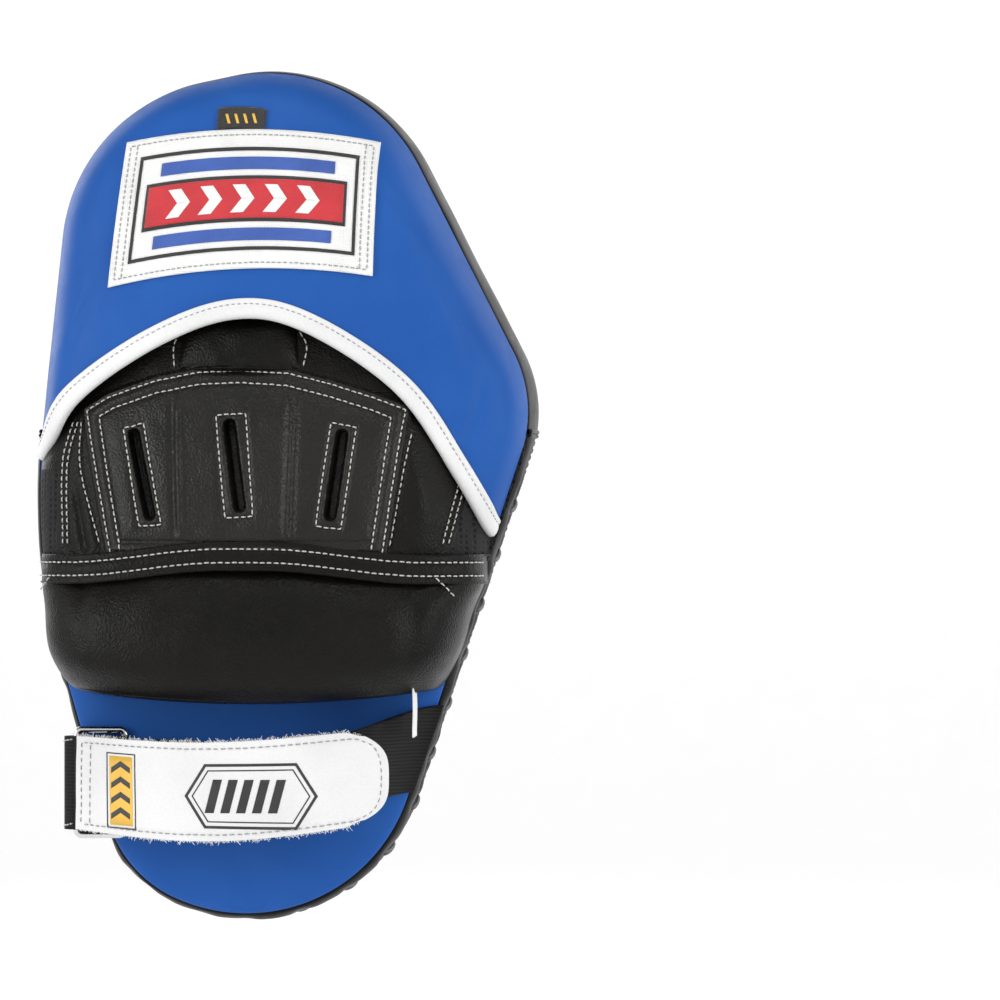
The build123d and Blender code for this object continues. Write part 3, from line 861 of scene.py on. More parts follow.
def hood_patch():
    """A woven patch with a plain pattern of bands and chevrons, sewn down all round."""
    plan = quad_plan(HOOD_PATCH, 90, 50, PATCH_BOW)
    base = patch_piece("hood_patch", on_hood, plan, 1.25, 1.1, PATCH_WHITE)
    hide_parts("hood_patch")
    border = [(0.07, 0.93, 0.13, 0.155), (0.07, 0.93, 0.845, 0.87), (0.07, 0.082, 0.13, 0.87),
              (0.918, 0.93, 0.13, 0.87)]
    black = [patch_quad(f"patch_line_{k}", box, PATCH_BLACK, 1.6) for k, box in enumerate(border)]
    black.append(patch_quad("patch_band_edge", (0.11, 0.89, 0.335, 0.665), PATCH_BLACK, 1.58))
    joined("hood_patch_lines", black)
    blue = [patch_quad("patch_blue_top", (0.16, 0.84, 0.20, 0.29), PATCH_BLUE, 1.6),
            patch_quad("patch_blue_low", (0.16, 0.84, 0.71, 0.80), PATCH_BLUE, 1.6)]
    joined("hood_patch_blue", blue)
    patch_quad("hood_patch_band", (0.12, 0.88, 0.36, 0.64), PATCH_RED, 1.75)
    marks = []
    for number in range(5):
        start = 0.20 + number * 0.125
        for side, shift, top, skew in (("up", 0, 0.40, 0.04), ("low", 0.04, 0.50, -0.04)):
            box = (start + shift, start + shift + 0.05, top, top + 0.10)
            marks.append(patch_quad(f"mark_{side}_{number}", box, PATCH_WHITE, 1.9, skew))
    joined("hood_patch_chevrons", marks)
    low_u, low_v = 0.022, 0.04
    loop = [(low_u, low_v), (1 - low_u, low_v), (1 - low_u, 1 - low_v), (low_u, 1 - low_v), (low_u, low_v)]
    rows = [on_hood(np.array([in_patch(u, v) for u, v in resample(loop, 300)]), 1.3)]
    for u in (0.05, 0.95):
        rows.append(on_hood(np.array([in_patch(u, v) for v in np.linspace(0.04, 0.96, 40)]), 1.3))
    stitches("hood_patch_stitches", rows, GREY_THREAD, pitch=2.2, gap=0.6, radius=0.24, lift=0.1,
             slot="woven_patch")
    tag = quad_plan([(-9.5, 153.5), (9.5, 152.8), (9.3, 144.2), (-9.8, 144.8)], 24, 12, (0.8, 0.8))
    piece = patch_piece("side_tag", on_hood, tag, 1.0, 0.8, PATCH_BLACK, slot="woven_tag")
    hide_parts("side_tag")
    bars = []
    for number in range(4):
        x = -6.6 + number * 3.5
        bar = quad_plan([(x, 151.0), (x + 1.1, 151.0), (x + 2.3, 147.2), (x + 1.2, 147.2)], 4, 6, (0, 0))
        bars.append(patch_piece(f"tag_bar_{number}", on_hood, bar, 1.15, 0.25, PRINT_GOLD, slot="woven_tag"))
    joined("side_tag_bars", bars)


# ------------------------------------------------------------------ the hand compartment

def rim_sides(z):
    """The pad's left and right edge at a height, for any array of heights."""
    left = RIM[RIM[:, 0] < 0]
    right = RIM[RIM[:, 0] >= 0]
    left, right = left[np.argsort(left[:, 1])], right[np.argsort(right[:, 1])]
    return np.interp(z, left[:, 1], left[:, 0]), np.interp(z, right[:, 1], right[:, 0])


KNUCKLES = [(-49.5, -21), (-61, 35), (-52, 40.2), (-33.5, 46.4), (-16, 49.8), (0, 50.4), (19.5, 49.2),
            (36, 45), (53, 39.6), (65, 35), (57, -21)]
VENTS = [((-41.2, 25.6), (-34.0, -5.4)), ((-3.1, 29.2), (1.6, -2.4)), ((41.1, 25.2), (37.1, -5.6))]
VENT_FRAMES = [[(-45.2, 28.0), (-37.2, 30.0), (-29.2, -9.6), (-38.0, -10.2)],
               [(-8.4, 33.0), (3.4, 33.6), (7.0, -6.4), (-4.0, -7.0)],
               [(36.8, 30.0), (46.6, 28.2), (41.2, -11.4), (31.4, -10.2)]]
LIP_DENSE = smooth_curve(LIP, 200)


def under_hood(x, z):
    """Distance in plan below the lip: negative under the hood."""
    above = z > np.interp(x, LIP_DENSE[:, 0], LIP_DENSE[:, 1])
    return np.where(above, -1, 1) * segment_distance(x, z, LIP_DENSE[::4])


def cover_edges(z):
    left, right = rim_sides(z)
    tuck = 6 * smooth(z, 14, 40)
    return left + 1.0 + tuck, right + 1.4 - tuck


def cover_height(x, z):
    """Height of the hand compartment's leather above the back panel."""
    left, right = cover_edges(z)
    t = np.clip(2 * (x - left) / (right - left) - 1, -1, 1)
    roof = np.interp(z, [-30, -18, 5, 24, 45, 60, 80, 110], [40, 39, 36.5, 33.5, 29, 25.5, 22, 17])
    height = roof * (1 - np.abs(t) ** 2.5) ** (1 / 2.5)
    limit = hood_height(x, z) - 4.2 + 1.1 * np.maximum(under_hood(x, z), 0)
    blend = 1.2
    height = -blend * np.logaddexp(-height / blend, -limit / blend)
    return np.maximum(height, 0)


def cover_detail(x, z):
    """Seams, overlay, vents, folds and padding of the compartment, as heights on the leather."""
    panel = signed_distance(x, z, KNUCKLES)
    out = 1.7 * smooth(panel, -2.6, -1.4)
    rows = np.abs(panel)
    inner = np.abs(panel - 4.7)
    out += 1.3 * (1 - np.exp(-np.maximum(panel - 4.7, 0) / 3.5)) * (panel > 4.7)
    out -= 0.45 * np.exp(-(rows / 0.9) ** 2) + 0.55 * np.exp(-(inner / 0.9) ** 2)
    out += 0.5 * np.exp(-((panel - 2.3) / 1.4) ** 2)
    for (top, low), around in zip(VENTS, VENT_FRAMES):
        slot = segment_distance(x, z, [top, low])
        ring = np.abs(signed_distance(x, z, around))
        out -= 0.55 * np.exp(-(ring / 0.8) ** 2)
        out -= 7.0 * smooth(-slot, -2.5, -1.4)
        out += 0.6 * np.exp(-((slot - 3.5) / 1.0) ** 2)
        out -= 1.0 * np.exp(-(slot / 5.0) ** 2)
    for at, lean, side in ((-25.0, 0.045, 1), (22.5, -0.02, -1)):
        across = x - at - lean * (20 - z)
        fade = smooth(z, -19, -8) * smooth(-z, -46, -34)
        out += (1.3 * np.exp(-((across - 1.6 * side) / 1.7) ** 2) - 1.1 * np.exp(-(across / 1.5) ** 2)) * fade
    side_row = segment_distance(x, z, [(-63.5, 31), (-63, 12), (-54.5, -17)])
    fold = segment_distance(x, z, [(-66.5, 8), (-63.5, -4), (-60.5, -19)])
    seam = segment_distance(x, z, [(-66, 31), (-69.8, 13.4), (-69.0, -19)])
    out -= 0.5 * np.exp(-(side_row / 0.8) ** 2)
    out += (0.7 * np.exp(-((fold - 3.0) / 2.4) ** 2) - 0.7 * np.exp(-(fold / 1.8) ** 2)) * smooth(-z, -10, 2)
    out -= 0.7 * np.exp(-(seam / 1.2) ** 2)
    thumb_row = segment_distance(x, z, [(67.5, 26), (60.4, -13), (59.5, -19)])
    thumb_seam = segment_distance(x, z, [(86, 7), (80.5, -18)])
    thumb = np.exp(-((x - 72) / 8.5) ** 2 - ((z - 1) / 17) ** 2)
    out += 2.6 * thumb - 0.5 * np.exp(-(thumb_row / 0.8) ** 2) - 0.7 * np.exp(-(thumb_seam / 1.3) ** 2)
    out += 0.5 * noise2(x, z, 17, 31) * (panel < 0) + 0.28 * noise2(x, z, 9, 32) + 0.12 * noise2(x, z, 4, 33)
    return out


def cover_y(x, z):
    base = cover_height(x, z)
    return bent_y(z, 0) - base - cover_detail(x, z) * smooth(base, 3, 16)


def on_height(height_y):
    """A surface function for pieces laid on a sheet given by its y."""
    def surface(plan, lift):
        x, z = plan[..., 0], plan[..., 1]
        step = 1.2
        dx = (height_y(x + step, z) - height_y(x - step, z)) / (2 * step)
        dz = (height_y(x, z + step) - height_y(x, z - step)) / (2 * step)
        normal = np.stack([dx, -np.ones_like(dx), dz], -1)
        normal /= np.linalg.norm(normal, axis=-1)[..., None]
        grid = np.stack([x, height_y(x, z), z], -1)
        return grid + normal * lift, normal
    return surface


def cut_piece(name, grid, keep, material, slot):
    """Part of a grid, chosen face by face, made into a thick piece."""
    nu, nv = grid.shape[:2]
    faces = quads(nu, nv)[keep.reshape(-1)]
    used, index = np.unique(faces, return_inverse=True)
    points = grid.reshape(-1, 3)[used]
    piece = make_mesh(name, points, index.reshape(faces.shape), material, "root", slot)
    normal_y = np.array([p.normal.y for p in piece.data.polygons]).mean()
    if normal_y > 0:
        piece.data.flip_normals()
    thick = piece.modifiers.new("thick", "SOLIDIFY")
    thick.thickness = 1.3 * MM
    thick.offset = -1
    return piece


def hand_compartment():
    columns, rows = 460, 260
    z = np.linspace(-24, 100, rows)[None, :]
    left, right = cover_edges(z)
    part = np.linspace(0, 1, columns)[:, None]
    part = 0.5 * part + 0.5 * (1 - np.cos(math.pi * part)) / 2
    x = left + (right - left) * part
    z = np.broadcast_to(z, x.shape)
    grid = np.stack([x, cover_y(x, z), z], -1)
    cx = (x[:-1, :-1] + x[1:, 1:]) / 2
    cz = (z[:-1, :-1] + z[1:, 1:]) / 2
    knuckle = signed_distance(cx, cz, KNUCKLES) > -2.0
    mesh_left = (cx < -71.5 - 0.02 * (cz + 20)) & (cz < 12)
    mesh_right = cx > np.interp(cz, [-24, 10, 30], [82.0, 89.5, 140])
    side = (cx < 0) & ~knuckle & ~mesh_left & (cz < 60)
    thumb = (cx > 0) & ~knuckle & ~mesh_right & (cz < 42) & (cx > 50)
    rest = ~(knuckle | mesh_left | mesh_right | side | thumb)
    for name, keep, material, slot in (
            ("knuckle_panel", knuckle, KNUCKLE_BLACK, "black_leather"),
            ("mesh_left", mesh_left, MESH, "black_mesh"), ("mesh_right", mesh_right, MESH, "black_mesh"),
            ("side_panel", side, BLACK, "black_leather"),
            ("thumb_panel", thumb, BLACK, "black_leather"), ("hand_panel", rest, BLACK, "black_leather")):
        piece = cut_piece(name, grid, keep, material, slot)
        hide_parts(name)
    compartment_stitches()
    finger_bridge()


def inset_polygon(points, distance):
    """A closed polygon moved inwards by a distance."""
    points = np.asarray(points, float)
    area = np.sum(points[:, 0] * np.roll(points[:, 1], -1) - np.roll(points[:, 0], -1) * points[:, 1])
    before, after = points - np.roll(points, 1, 0), np.roll(points, -1, 0) - points
    def side(vector):
        vector = vector / np.linalg.norm(vector, axis=1)[:, None]
        return np.stack([-vector[:, 1], vector[:, 0]], 1) * np.sign(area)
    a, b = side(before), side(after)
    middle = (a + b) / (1 + (a * b).sum(1))[:, None]
    return points + middle * distance


def compartment_stitches():
    surface = on_height(cover_y)
    rows = []
    def row(points, count=160, curved=False):
        plan = smooth_curve(points, count) if curved else resample(points, count)
        rows.append(surface(plan, 0.15))
    row(KNUCKLES, 500)
    inner = inset_polygon(KNUCKLES, 4.7)
    row([(inner[0][0], -19.5)] + [tuple(p) for p in inner[1:-1]] + [(inner[-1][0], -19.5)], 460)
    for around in VENT_FRAMES:
        row(around + around[:1], 200)
    row([(-63.5, 31), (-63, 12), (-54.5, -17)], curved=True)
    row([(67.5, 26), (60.4, -13), (59.5, -18)], curved=True)
    for shift in (-1.1, 1.1):
        row([(-66 + shift, 31), (-69.8 + shift, 13.4), (-69.0 + shift, -17.5)], curved=True)
        row([(86 + shift, 7), (80.5 + shift, -17.5)])
    row([(-24.0, 66), (-26.6, 60), (-26.0, 52)], 60, True)
    row([(23.0, 66), (26.0, 60), (25.0, 52)], 60, True)
    stitches("compartment_stitches", rows, WHITE_THREAD, slot="white_leather")


def finger_bridge():
    """The padded roll over the fingertips' entry, just below the lip of the hood."""
    columns, rows = 90, 46
    u = np.linspace(-1, 1, columns)[:, None]
    v = np.linspace(-1, 1, rows)[None, :]
    x = -0.5 + 23.0 * np.sin(u * math.pi / 2) * (1 - 0.05 * v) + 0 * v
    z = 61.0 + 11.0 * np.sin(v * math.pi / 2) * (1 - 0.12 * np.sin(u * math.pi / 2) ** 2) + 0 * u
    rim = (1 - np.abs(np.sin(u * math.pi / 2)) ** 4) * (1 - np.abs(np.sin(v * math.pi / 2)) ** 3)
    swell = 5.2 * np.clip(rim, 0, 1) ** 0.5
    y = cover_y(x, z) + 0.4 - swell - 0.25 * noise2(x, z, 8, 41) * np.clip(rim, 0, 1)
    grid = np.stack([x, y, z], -1)
    flip = float(grid_normals(grid)[columns // 2, rows // 2, 1]) > 0
    piece = shell("finger_bridge", grid, 1.2, BLACK, slot="black_leather", flip=flip)
    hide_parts("finger_bridge")


# ------------------------------------------------------------------ the cuff

CUFF_PROFILE = [(-24.5, 36.0, 0), (-27.5, 39.2, 0), (-31, 42.2, 0), (-36, 45.4, 0), (-43, 48.2, 0),
                (-51, 50.0, 0), (-59, 50.6, 0), (-66, 49.6, 0), (-71.5, 46.8, 0.4), (-75.8, 42.6, 1.4),
                (-78.6, 37.6, 3.4), (-79.6, 33.0, 6.0), (-78.6, 29.6, 9.0), (-75.0, 27.6, 11.5),
                (-66, 26.8, 13.0), (-50, 26.4, 13.5), (-28, 25.6, 13.5)]


def cuff_edges(z):
    left, right = rim_sides(z)
    bulge = 2.6 * smooth(-z, 34, 62)
    return left + 1.2 - bulge, right + 0.9 + bulge * 0.7


def arch_across(t, power):
    return (1 - np.abs(t) ** power) ** (1 / power)


def cuff():
    profile = smooth_curve(CUFF_PROFILE, 130)
    columns = 300
    part = np.linspace(0, 1, columns)[:, None]
    part = 0.45 * part + 0.55 * (1 - np.cos(math.pi * part)) / 2
    t = 2 * part - 1
    zk, hk, inset = (profile[None, :, k] for k in range(3))
    left, right = cuff_edges(np.minimum(zk, -26))
    x = (left + inset) * (1 - part) + (right - inset * 0.7) * part
    z = zk + smooth(-zk, 50, 78) * 5.0 * t**2 + band_dip(x) * smooth(zk, -50, -26)
    power = 3.5 - 0.5 * smooth(-zk, 60, 80)
    height = hk * arch_across(t, power)
    outer = inset < 3
    wrinkle = 1.5 * noise2(x, z, 30, 51) + 0.45 * noise2(x, z, 11, 52) + 0.12 * noise2(x, z, 4, 53)
    groove = -1.1 * np.exp(-((x - 69.0 - 0.05 * (z + 50)) / 4.5) ** 2)
    groove = groove * smooth(-z, 26, 34) * smooth(z, -74, -56)
    left_dent = -1.2 * np.exp(-((x + 60) / 4.0) ** 2 - ((z + 38) / 14) ** 2)
    detail = (wrinkle + groove + left_dent) * outer * smooth(height, 4, 18)
    y = bent_y(z, 0) - height - detail
    grid = np.stack([x + 0 * y, y, z + 0 * y], -1)
    flip = float(grid_normals(grid)[columns // 2, 40, 1]) > 0
    piece = shell("cuff_cover", grid, 1.2, BLACK, slot="black_leather", flip=flip)
    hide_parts("cuff_cover", "cuff_foam", "cuff_lining")
    cuff_band()


def band_dip(x):
    """How far the cuff's stitched band drops away from its middle."""
    return -5.2 * smooth(np.abs(x - 3), 8, 70)


def band_y(x, z):
    left, right = cuff_edges(-24.0)
    t = np.clip(2 * (x - left) / (right - left) - 1, -1, 1)
    height = np.interp(z - band_dip(x), [-30, -27.5, -22, -17], [42.2, 41.2, 40.6, 39.8])
    height = height * arch_across(t, 3.1)
    return bent_y(z, 0) - height - 0.25 * noise2(x, z, 12, 61)


def cuff_band():
    """The stitched leather band between the compartment and the cuff."""
    columns = 320
    left, right = cuff_edges(-24.0)
    part = np.linspace(0.0, 1.0, columns)[:, None]
    part = 0.45 * part + 0.55 * (1 - np.cos(math.pi * part)) / 2
    x = left + (right - left) * part
    across = [(-16.4, -1.6), (-16.0, 0.3), (-16.6, 1.0), (-18.0, 1.15), (-19.2, 0.75), (-20.5, 1.25),
              (-22.0, 1.4), (-23.4, 1.2), (-24.6, 0.75), (-26.0, 1.1), (-27.2, 0.9), (-27.7, 0.1),
              (-27.3, -1.6)]
    across = smooth_curve(across, 40)
    z = across[None, :, 0] + band_dip(x)
    y = band_y(x, z) - across[None, :, 1]
    grid = np.stack([x + 0 * z, y, z], -1)
    flip = float(grid_normals(grid)[columns // 2, 20, 1]) > 0
    piece = shell("cuff_band", grid, 1.0, BLACK, slot="black_leather", flip=flip)
    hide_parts("cuff_band")
    surface = on_height(band_y)
    rows = []
    for middle in (-19.2, -24.4):
        x_row = np.linspace(left + 1.2, right - 1.2, 500)
        rows.append(surface(np.stack([x_row, middle + band_dip(x_row)], 1), 0.8))
    for start, end in (((-74.5, -30.2), (-79.0, -35.5)), ((77.0, -30.0), (84.0, -37.5))):
        rows.append(surface(resample([start, end], 20), 1.0))
    stitches("cuff_band_stitches", rows, WHITE_THREAD, slot="white_leather")


# ------------------------------------------------------------------ the wrist strap

def on_strap(radius):
    """A surface function for the strap's arc: plan x and z to points at a radius about its axis."""
    cx, cy = STRAP_AXIS
    def surface(plan, lift):
        x, z = plan[..., 0], plan[..., 1]
        angle = np.arcsin(np.clip((x - cx) / radius, -1, 1))
        normal = np.stack([np.sin(angle), -np.cos(angle), 0 * angle], -1)
        place = np.stack([cx + 0 * angle, cy + 0 * angle, z], -1) + normal * radius
        return place + normal * lift, normal
    return surface


TAB_LEFT, TAB_RIGHT = -66.3, 58.5


def tab_plan(u, v):
    """Plan of the tab: bowed downwards in its middle, with a rounded free end."""
    across = np.abs(2 * v - 1)
    right = TAB_RIGHT - 9.0 * across**3.2
    x = TAB_LEFT + (right - TAB_LEFT) * u
    middle = -111.2 - 3.6 * np.sin(math.pi * np.clip(u, 0, 1)) ** 1.2 + 3.0 * u
    half = 18.3 + 0.9 * np.sin(math.pi * u) - 2.0 * smooth(u, 0.93, 1.0) * across
    z = middle + half * (1 - 2 * v)
    return np.stack([x, z], -1)


def tab_wave(x, z):
    """Small waves of the tab's leather."""
    return 0.35 * noise2(x, z, 22, 71) + 0.15 * noise2(x, z, 8, 72)


def on_tab(plan, lift):
    """Points on the tab's outer face."""
    place, normal = on_strap(112.9)(plan, lift)
    return place + normal * tab_wave(plan[..., 0], plan[..., 1])[..., None], normal


def strap_tab():
    columns, rows = 150, 44
    u, v = np.linspace(0, 1, columns)[:, None], np.linspace(0, 1, rows)[None, :]
    plan = tab_plan(u, v)
    wave = tab_wave(plan[..., 0], plan[..., 1])
    edge = np.minimum(np.minimum(v, 1 - v) * 37, np.minimum(u, 1 - u) * 125)
    pillow = 0.5 * smooth(edge, 0, 3.5) - 0.28 * np.exp(-((edge - 2.5) / 0.7) ** 2)
    grid, normal = on_strap(112.4)(plan, 0)
    grid = grid + normal * (wave + pillow)[..., None]
    flip = float((grid_normals(grid)[70, 20] * normal[70, 20]).sum()) < 0
    piece = shell("strap_tab", grid, 2.0, WHITE, "strap_tab", "white_leather", flip=flip)
    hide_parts("strap_tab")
    loop = [(0.02, t) for t in np.linspace(0.93, 0.07, 12)]
    loop += [(t, 0.065) for t in np.linspace(0.03, 0.95, 60)]
    loop += [(0.978, t) for t in np.linspace(0.12, 0.88, 16)]
    loop += [(t, 0.935) for t in np.linspace(0.95, 0.03, 60)]
    seams = [on_tab(resample(np.array([tab_plan(a, b) for a, b in loop]), 500), -0.2)]
    seams.append(on_tab(resample([tab_plan(0.055, 0.07), tab_plan(0.055, 0.93)], 60), 0.0))
    stitches("tab_stitches", seams, GREY_THREAD, "strap_tab", pitch=2.9, gap=1.0, radius=0.24, lift=0.1,
             slot="white_leather")
    tab_prints()
    tab_fuzz()


def strap_hook():
    """The hook tape under the tab's free end, cut to the tab's rounded shape."""
    u, v = np.linspace(0.53, 0.965, 70)[:, None], np.linspace(0.08, 0.92, 30)[None, :]
    grid, normal = on_strap(110.15)(tab_plan(u, v), 0)
    flip = float((grid_normals(grid)[30, 15] * normal[30, 15]).sum()) < 0
    piece = shell("strap_hook", grid, 1.2, HOOK, "strap_tab", "hook_tape", flip=flip)
    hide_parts("strap_hook")


def tab_print(name, corners, material, lift=0.1):
    return patch_piece(name, on_tab, quad_plan(corners, 14, 6), lift, 0.16, material, "strap_tab",
                       "white_leather")


def outline_print(prefix, corners, width, material, lift):
    """A closed outline of even width through a few corners."""
    corners = [np.array(c, float) for c in corners]
    inner = inset_polygon(corners, width)
    pieces = []
    for k in range(len(corners)):
        after = (k + 1) % len(corners)
        quad = [corners[k], corners[after], inner[after], inner[k]]
        pieces.append(tab_print(f"{prefix}_{k}", quad, material, lift))
    return pieces


def tab_prints():
    """Plain printed marks: a long hexagon with slanted bars, and a small framed block with chevrons."""
    cx, cz = 6.0, -115.0
    hexagon = [(cx - 26, cz), (cx - 18, cz + 12.5), (cx + 18, cz + 13), (cx + 26, cz), (cx + 18, cz - 13),
               (cx - 18, cz - 12.5)]
    black = outline_print("hexagon", hexagon, 1.1, PRINT_BLACK, 0.1)
    small = inset_polygon(hexagon, 2.4)
    black += outline_print("hexagon_inner", small, 0.5, PRINT_BLACK, 0.1)
    for number in range(5):
        x = cx - 14.5 + number * 6.2
        black.append(tab_print(f"bar_{number}", [(x, cz + 6.5), (x + 3.6, cz + 6.5), (x + 0.2, cz - 6.5),
                                                 (x - 3.4, cz - 6.5)], PRINT_BLACK))
    sx, sz = -46.5, -113.6
    block = [(sx - 6.2, sz + 15), (sx + 6.2, sz + 14.4), (sx + 6.6, sz - 15.2), (sx - 5.8, sz - 14.6)]
    black += outline_print("block", block, 0.5, PRINT_BLACK, 0.1)
    gold = [tab_print("block_gold", inset_polygon(block, 1.3), PRINT_GOLD, 0.08)]
    for number in range(4):
        z = sz + 9.0 - number * 6.0
        left = [(sx - 4, z), (sx, z + 2.6), (sx, z + 0.4), (sx - 4, z - 2.2)]
        right = [(sx, z + 2.6), (sx + 4, z), (sx + 4, z - 2.2), (sx, z + 0.4)]
        black.append(tab_print(f"chevron_a_{number}", left, PRINT_BLACK, 0.18))
        black.append(tab_print(f"chevron_b_{number}", right, PRINT_BLACK, 0.18))
    joined("tab_marks_black", black)
    joined("tab_marks_gold", gold)


def tab_fuzz():
    """Loose loops and fibres along the tab's long edges."""
    random = np.random.RandomState(5)
    paths = []
    surface = on_strap(110.6)
    for edge, out in ((0.0, 1), (1.0, -1)):
        for _ in range(520):
            u = random.uniform(0.0, 0.985)
            plan = tab_plan(u, edge)
            place, normal = surface(plan - [0, out * 0.5], random.uniform(-1.0, 0.4))
            length = random.uniform(0.6, 1.5) * (1.6 if random.rand() < 0.12 else 1)
            lean = random.uniform(-0.9, 0.9)
            curl = random.uniform(-0.6, 0.6)
            steps = np.linspace(0, 1, 5)[:, None]
            way = np.array([lean, 0, out * 1.0]) * length
            bend = normal * curl * length
            paths.append(place + way * steps + bend * steps**2 + np.array([curl, 0, 0]) * steps**2 * length)
    tubes("strap_fuzz", paths, 0.11, FUZZ, "strap_tab", "hook_tape", sides=4)


def strap_elastic():
    """The ribbed elastic from the thumb side: it rises over the wrist and comes down to the ring."""
    a, b, c = (-45.5, 1.0), (4.0, -20.6), (73.0, 12.2)
    columns, rows = 150, 26
    ax, ay, bx, by, cx, cy = *a, *b, *c
    d = 2 * (ax * (by - cy) + bx * (cy - ay) + cx * (ay - by))
    ox = ((ax**2 + ay**2) * (by - cy) + (bx**2 + by**2) * (cy - ay) + (cx**2 + cy**2) * (ay - by)) / d
    oy = ((ax**2 + ay**2) * (cx - bx) + (bx**2 + by**2) * (ax - cx) + (cx**2 + cy**2) * (bx - ax)) / d
    radius = math.hypot(ax - ox, ay - oy)
    start, end = math.atan2(ax - ox, oy - ay), math.atan2(cx - ox, oy - cy)
    angle = np.linspace(start, end, columns)[:, None]
    v = np.linspace(0, 1, rows)[None, :]
    part = (angle - start) / (end - start)
    lift = 13.5 * smooth(part, 0.5, 1.0)
    edge = rim_sides(STRAP_Z[0] + (STRAP_Z[1] - STRAP_Z[0]) * v + 13.5)[1] + 1.0
    reach = np.arcsin(np.clip((edge - ox) / radius, -1, 1))
    angle = start + (reach - start) * part
    z = STRAP_Z[0] + 1.0 + (STRAP_Z[1] - STRAP_Z[0] - 2.0) * v + lift
    wave = 0.3 * noise2(part * 120, z, 14, 81)
    out = radius + 1.0 + wave - 1.5 * smooth(part, 0.9, 1.0)
    y = oy - out * np.cos(angle)
    y = y + (bent_y(z, -1.6) - y) * smooth(part, 0.74, 1.0)
    x = ox + out * np.sin(angle) + 1.8 * smooth(part, 0.74, 1.0)
    grid = np.stack([x, y, z], -1)
    normal = np.stack([np.sin(angle), -np.cos(angle), 0 * z], -1)
    flip = float((grid_normals(grid)[70, 12] * normal[70, 12]).sum()) < 0
    piece = shell("strap_elastic", grid, 2.0, ELASTIC, slot="black_elastic", flip=flip)
    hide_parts("strap_elastic")


def strap_fold():
    """Bar tacks where the elastic is folded round the ring."""
    ox, oy = RING_OUTER
    rows = []
    for z in (STRAP_Z[1] - 1.6, STRAP_Z[0] + 1.8):
        angle = np.linspace(math.radians(-78), math.radians(-8), 20)
        normal = np.stack([np.sin(angle), -np.cos(angle), 0 * angle], 1)
        path = np.array([ox, oy, z]) + normal * 5.0
        path[:, 2] += np.linspace(-0.6, 0.6, 20)
        rows.append((path, normal))
    stitches("fold_bar_tacks", rows, WHITE_THREAD, "strap_leg", pitch=1.4, gap=0.3, radius=0.3, lift=0.15,
             slot="white_leather")


# ------------------------------------------------------------------ small pieces

def on_face(plan, lift):
    x, z = plan[..., 0], plan[..., 1]
    y = bent_y(z, 44.4)
    return np.stack([x, y + lift, z], -1), np.stack([0 * x, np.ones_like(x), 0 * x], -1)


def face_patch():
    """A sewn patch on the striking face: a rounded white field with a dark band and slanted bars."""
    cx, cz = -23.0, 29.0
    def blob(scale, count=120):
        angle = np.linspace(0, 2 * math.pi, count, endpoint=False)
        c, s = np.cos(angle), np.sin(angle)
        power = 2 / 3.4
        return np.stack([cx + 29 * scale * np.sign(c) * np.abs(c) ** power,
                         cz + 24 * scale * np.sign(s) * np.abs(s) ** power], 1)
    def field(name, scale, lift, thickness, material):
        rings = [blob(scale * part) for part in (1, 0.96, 0.85, 0.65, 0.4, 0.2, 0.02)]
        plan = np.stack(rings, 1)
        grid = on_face(plan, lift)[0]
        flip = float(grid_normals(grid, True)[0, 3, 1]) < 0
        return shell(name, grid, thickness, material, "root", "woven_patch", wrap_u=True, flip=flip,
                     round_edge=False)
    base = field("face_patch", 1.0, 0.9, 0.9, PATCH_WHITE)
    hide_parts("face_patch")
    field("face_patch_dark", 0.84, 1.05, 0.3, PATCH_BLACK)
    bars = []
    for number in range(5):
        x = cx - 17 + number * 7.2
        plan = quad_plan([(x, cz + 8), (x + 3.6, cz + 8), (x + 6.4, cz - 8), (x + 2.8, cz - 8)], 4, 10)
        bars.append(patch_piece(f"face_bar_{number}", on_face, plan, 1.2, 0.25, PATCH_WHITE))
    joined("face_patch_bars", bars)
    loop = blob(0.92, 300)
    row = on_face(np.vstack([loop, loop[:1]]), 0.95)
    stitches("face_patch_stitches", [row], GREY_THREAD, pitch=1.8, gap=0.5, radius=0.22, lift=0.1,
             slot="woven_patch")


def label_tag():
    """A folded label that hangs from the cuff's lower edge."""
    u, v = np.linspace(0, 1, 14)[:, None], np.linspace(0, 1, 20)[None, :]
    y = -13 + 12 * u + 0 * v
    z = -72 - 20.6 * v + 0.3 * u
    x = 67.6 + 0.5 * v**2 + 0.4 * np.sin(v * 5) * v + 0 * u
    grid = np.stack([x, y, z], -1)
    piece = shell("label_tag", grid, 0.6, PATCH_WHITE, slot="woven_label", round_edge=False)
    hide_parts("label_tag")


def palm_pad():
    """The soft pad under the palm."""
    columns, rows = 72, 20
    angle = np.linspace(0, 2 * math.pi, columns, endpoint=False)[:, None]
    part = np.linspace(1, 0.03, rows)[None, :]
    x = 2 + 29 * part * np.cos(angle)
    z = 18 + 33 * part * np.sin(angle)
    y = bent_y(z, -1.2) - 7.5 * (1 - part**2.4) ** 0.7 - 0.2 * noise2(x, z, 9, 91)
    grid = np.stack([x, y, z], -1)
    flip = float(grid_normals(grid, True)[0, 10, 1]) > 0
    piece = shell("palm_pad", grid, 1.0, LINING, slot="black_leather", wrap_u=True, flip=flip)
    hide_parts("palm_pad")


def carried_nodes():
    """Better materials for the CAD pieces that are shown as they are."""
    given = {"base_foam": FOAM, "impact_foam": FOAM, "gel_layer": GEL, "face_foam": FOAM,
             "palm_lining": LINING, "ring": STEEL, "ring_keeper": ELASTIC, "strap_return": ELASTIC,
             "strap_leg": ELASTIC, "strap_hook": HOOK}
    for node, material in given.items():
        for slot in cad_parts[node].material_slots:
            slot.material = material


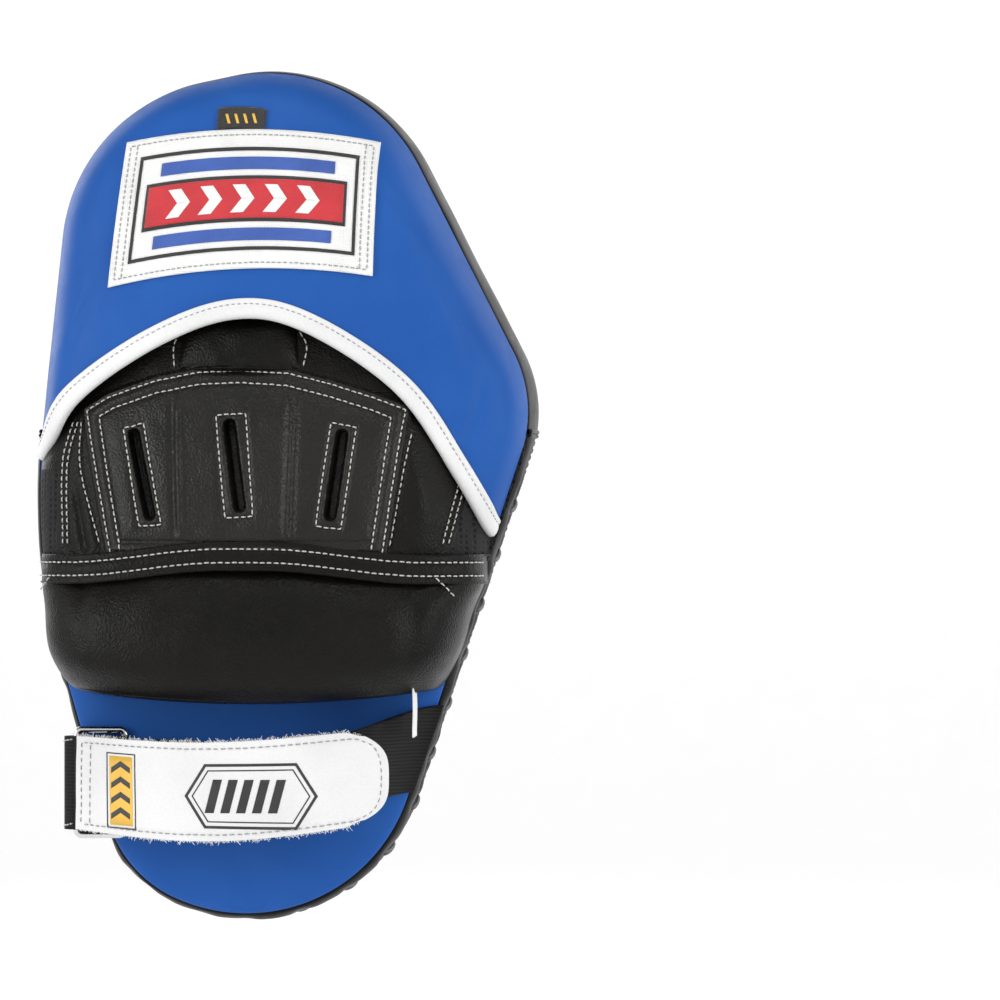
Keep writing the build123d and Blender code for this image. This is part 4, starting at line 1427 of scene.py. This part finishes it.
# ------------------------------------------------------------------ camera, stage and light

CAMERA_LENS, CAMERA_SENSOR = 180, 36
CAMERA_AZIMUTH = 5.0
CAMERA_TARGET = (0.0998, 0.012, 0.0)
VIEW_WIDTH = 0.394    # how much the frame takes in at the target, in metres


def camera():
    data = bpy.data.cameras.new("camera")
    data.lens = CAMERA_LENS
    data.sensor_width = CAMERA_SENSOR
    lens = bpy.data.objects.new("camera", data)
    bpy.context.scene.collection.objects.link(lens)
    azimuth = math.radians(CAMERA_AZIMUTH)
    target = Vector(CAMERA_TARGET)
    distance = VIEW_WIDTH * CAMERA_LENS / CAMERA_SENSOR
    direction = Vector((math.sin(azimuth), -math.cos(azimuth), 0.0))
    lens.location = target + direction * distance
    lens.rotation_euler = (target - lens.location).to_track_quat("-Z", "Y").to_euler()
    bpy.context.scene.camera = lens


def area_light(name, place, size, power):
    """A soft light that faces the middle of the object."""
    data = bpy.data.lights.new(name, "AREA")
    data.shape = "RECTANGLE"
    data.size, data.size_y = size
    data.energy = power
    light = bpy.data.objects.new(name, data)
    bpy.context.scene.collection.objects.link(light)
    light.location = place
    light.rotation_euler = (-Vector(place)).to_track_quat("-Z", "Y").to_euler()


def stage():
    """A pale round floor that curves up into a low wall all round, and soft light."""
    low, radius, bend, top = -0.30, 3.4, 0.8, 2.8
    profile = [(0.0, low), (radius - bend, low)]
    for step in range(1, 13):
        a = math.pi / 2 * step / 12
        profile.append((radius - bend + bend * math.sin(a), low + bend - bend * math.cos(a)))
    profile.append((radius, top))
    sides = 96
    turn = [2 * math.pi * k / sides for k in range(sides)]
    points = [(0.0, 0.0, low)]
    for out, z in profile[1:]:
        points += [(out * math.cos(a), out * math.sin(a), z) for a in turn]
    faces = [(0, 1 + k, 1 + (k + 1) % sides) for k in range(sides)]
    for ring in range(len(profile) - 2):
        start = 1 + ring * sides
        faces += [(start + k, start + sides + k, start + sides + (k + 1) % sides, start + (k + 1) % sides)
                  for k in range(sides)]
    material = Nodes("pale_floor")
    place = material.place()
    speck = material.add("ShaderNodeTexNoise", Scale=40, Detail=2.0)
    material.link(place, speck.inputs["Vector"])
    material.link(material.ramp(speck, [(0.3, 0.60), (0.7, 0.62)]), material.shader.inputs["Base Color"])
    set_shader(material, roughness=0.9, specular=0.1)
    material.shader.inputs["Emission Color"].default_value = (1, 1, 1, 1)
    material.shader.inputs["Emission Strength"].default_value = 0.5
    piece = make_mesh("floor", np.array(points) / MM, faces, material.material, body=None)
    world = bpy.data.worlds.new("world")
    bpy.context.scene.world = world
    world.use_nodes = True
    world.node_tree.nodes["Background"].inputs["Color"].default_value = (1, 1, 1, 1)
    world.node_tree.nodes["Background"].inputs["Strength"].default_value = 0.3
    for name, place, size, power in (
            ("left", (-1.3, -1.0, 0.35), (0.45, 1.2), 12.5), ("right", (1.35, -0.8, 0.30), (0.35, 1.2), 9),
            ("top", (0.1, -0.7, 1.5), (1.0, 0.6), 6.5), ("back_left", (-1.0, 1.2, 0.6), (0.7, 1.2), 4.5),
            ("back_right", (1.2, 1.1, 0.4), (0.6, 1.2), 4)):
        area_light(name, place, size, power)


bpy.context.scene.view_settings.view_transform = "Standard"
camera()
stage()
carried_nodes()
face_panel()
back_panel()
gusset()
hood()
hood_patch()
hand_compartment()
cuff()
strap_tab()
strap_hook()
strap_elastic()
strap_fold()
face_patch()
label_tag()
palm_pad()
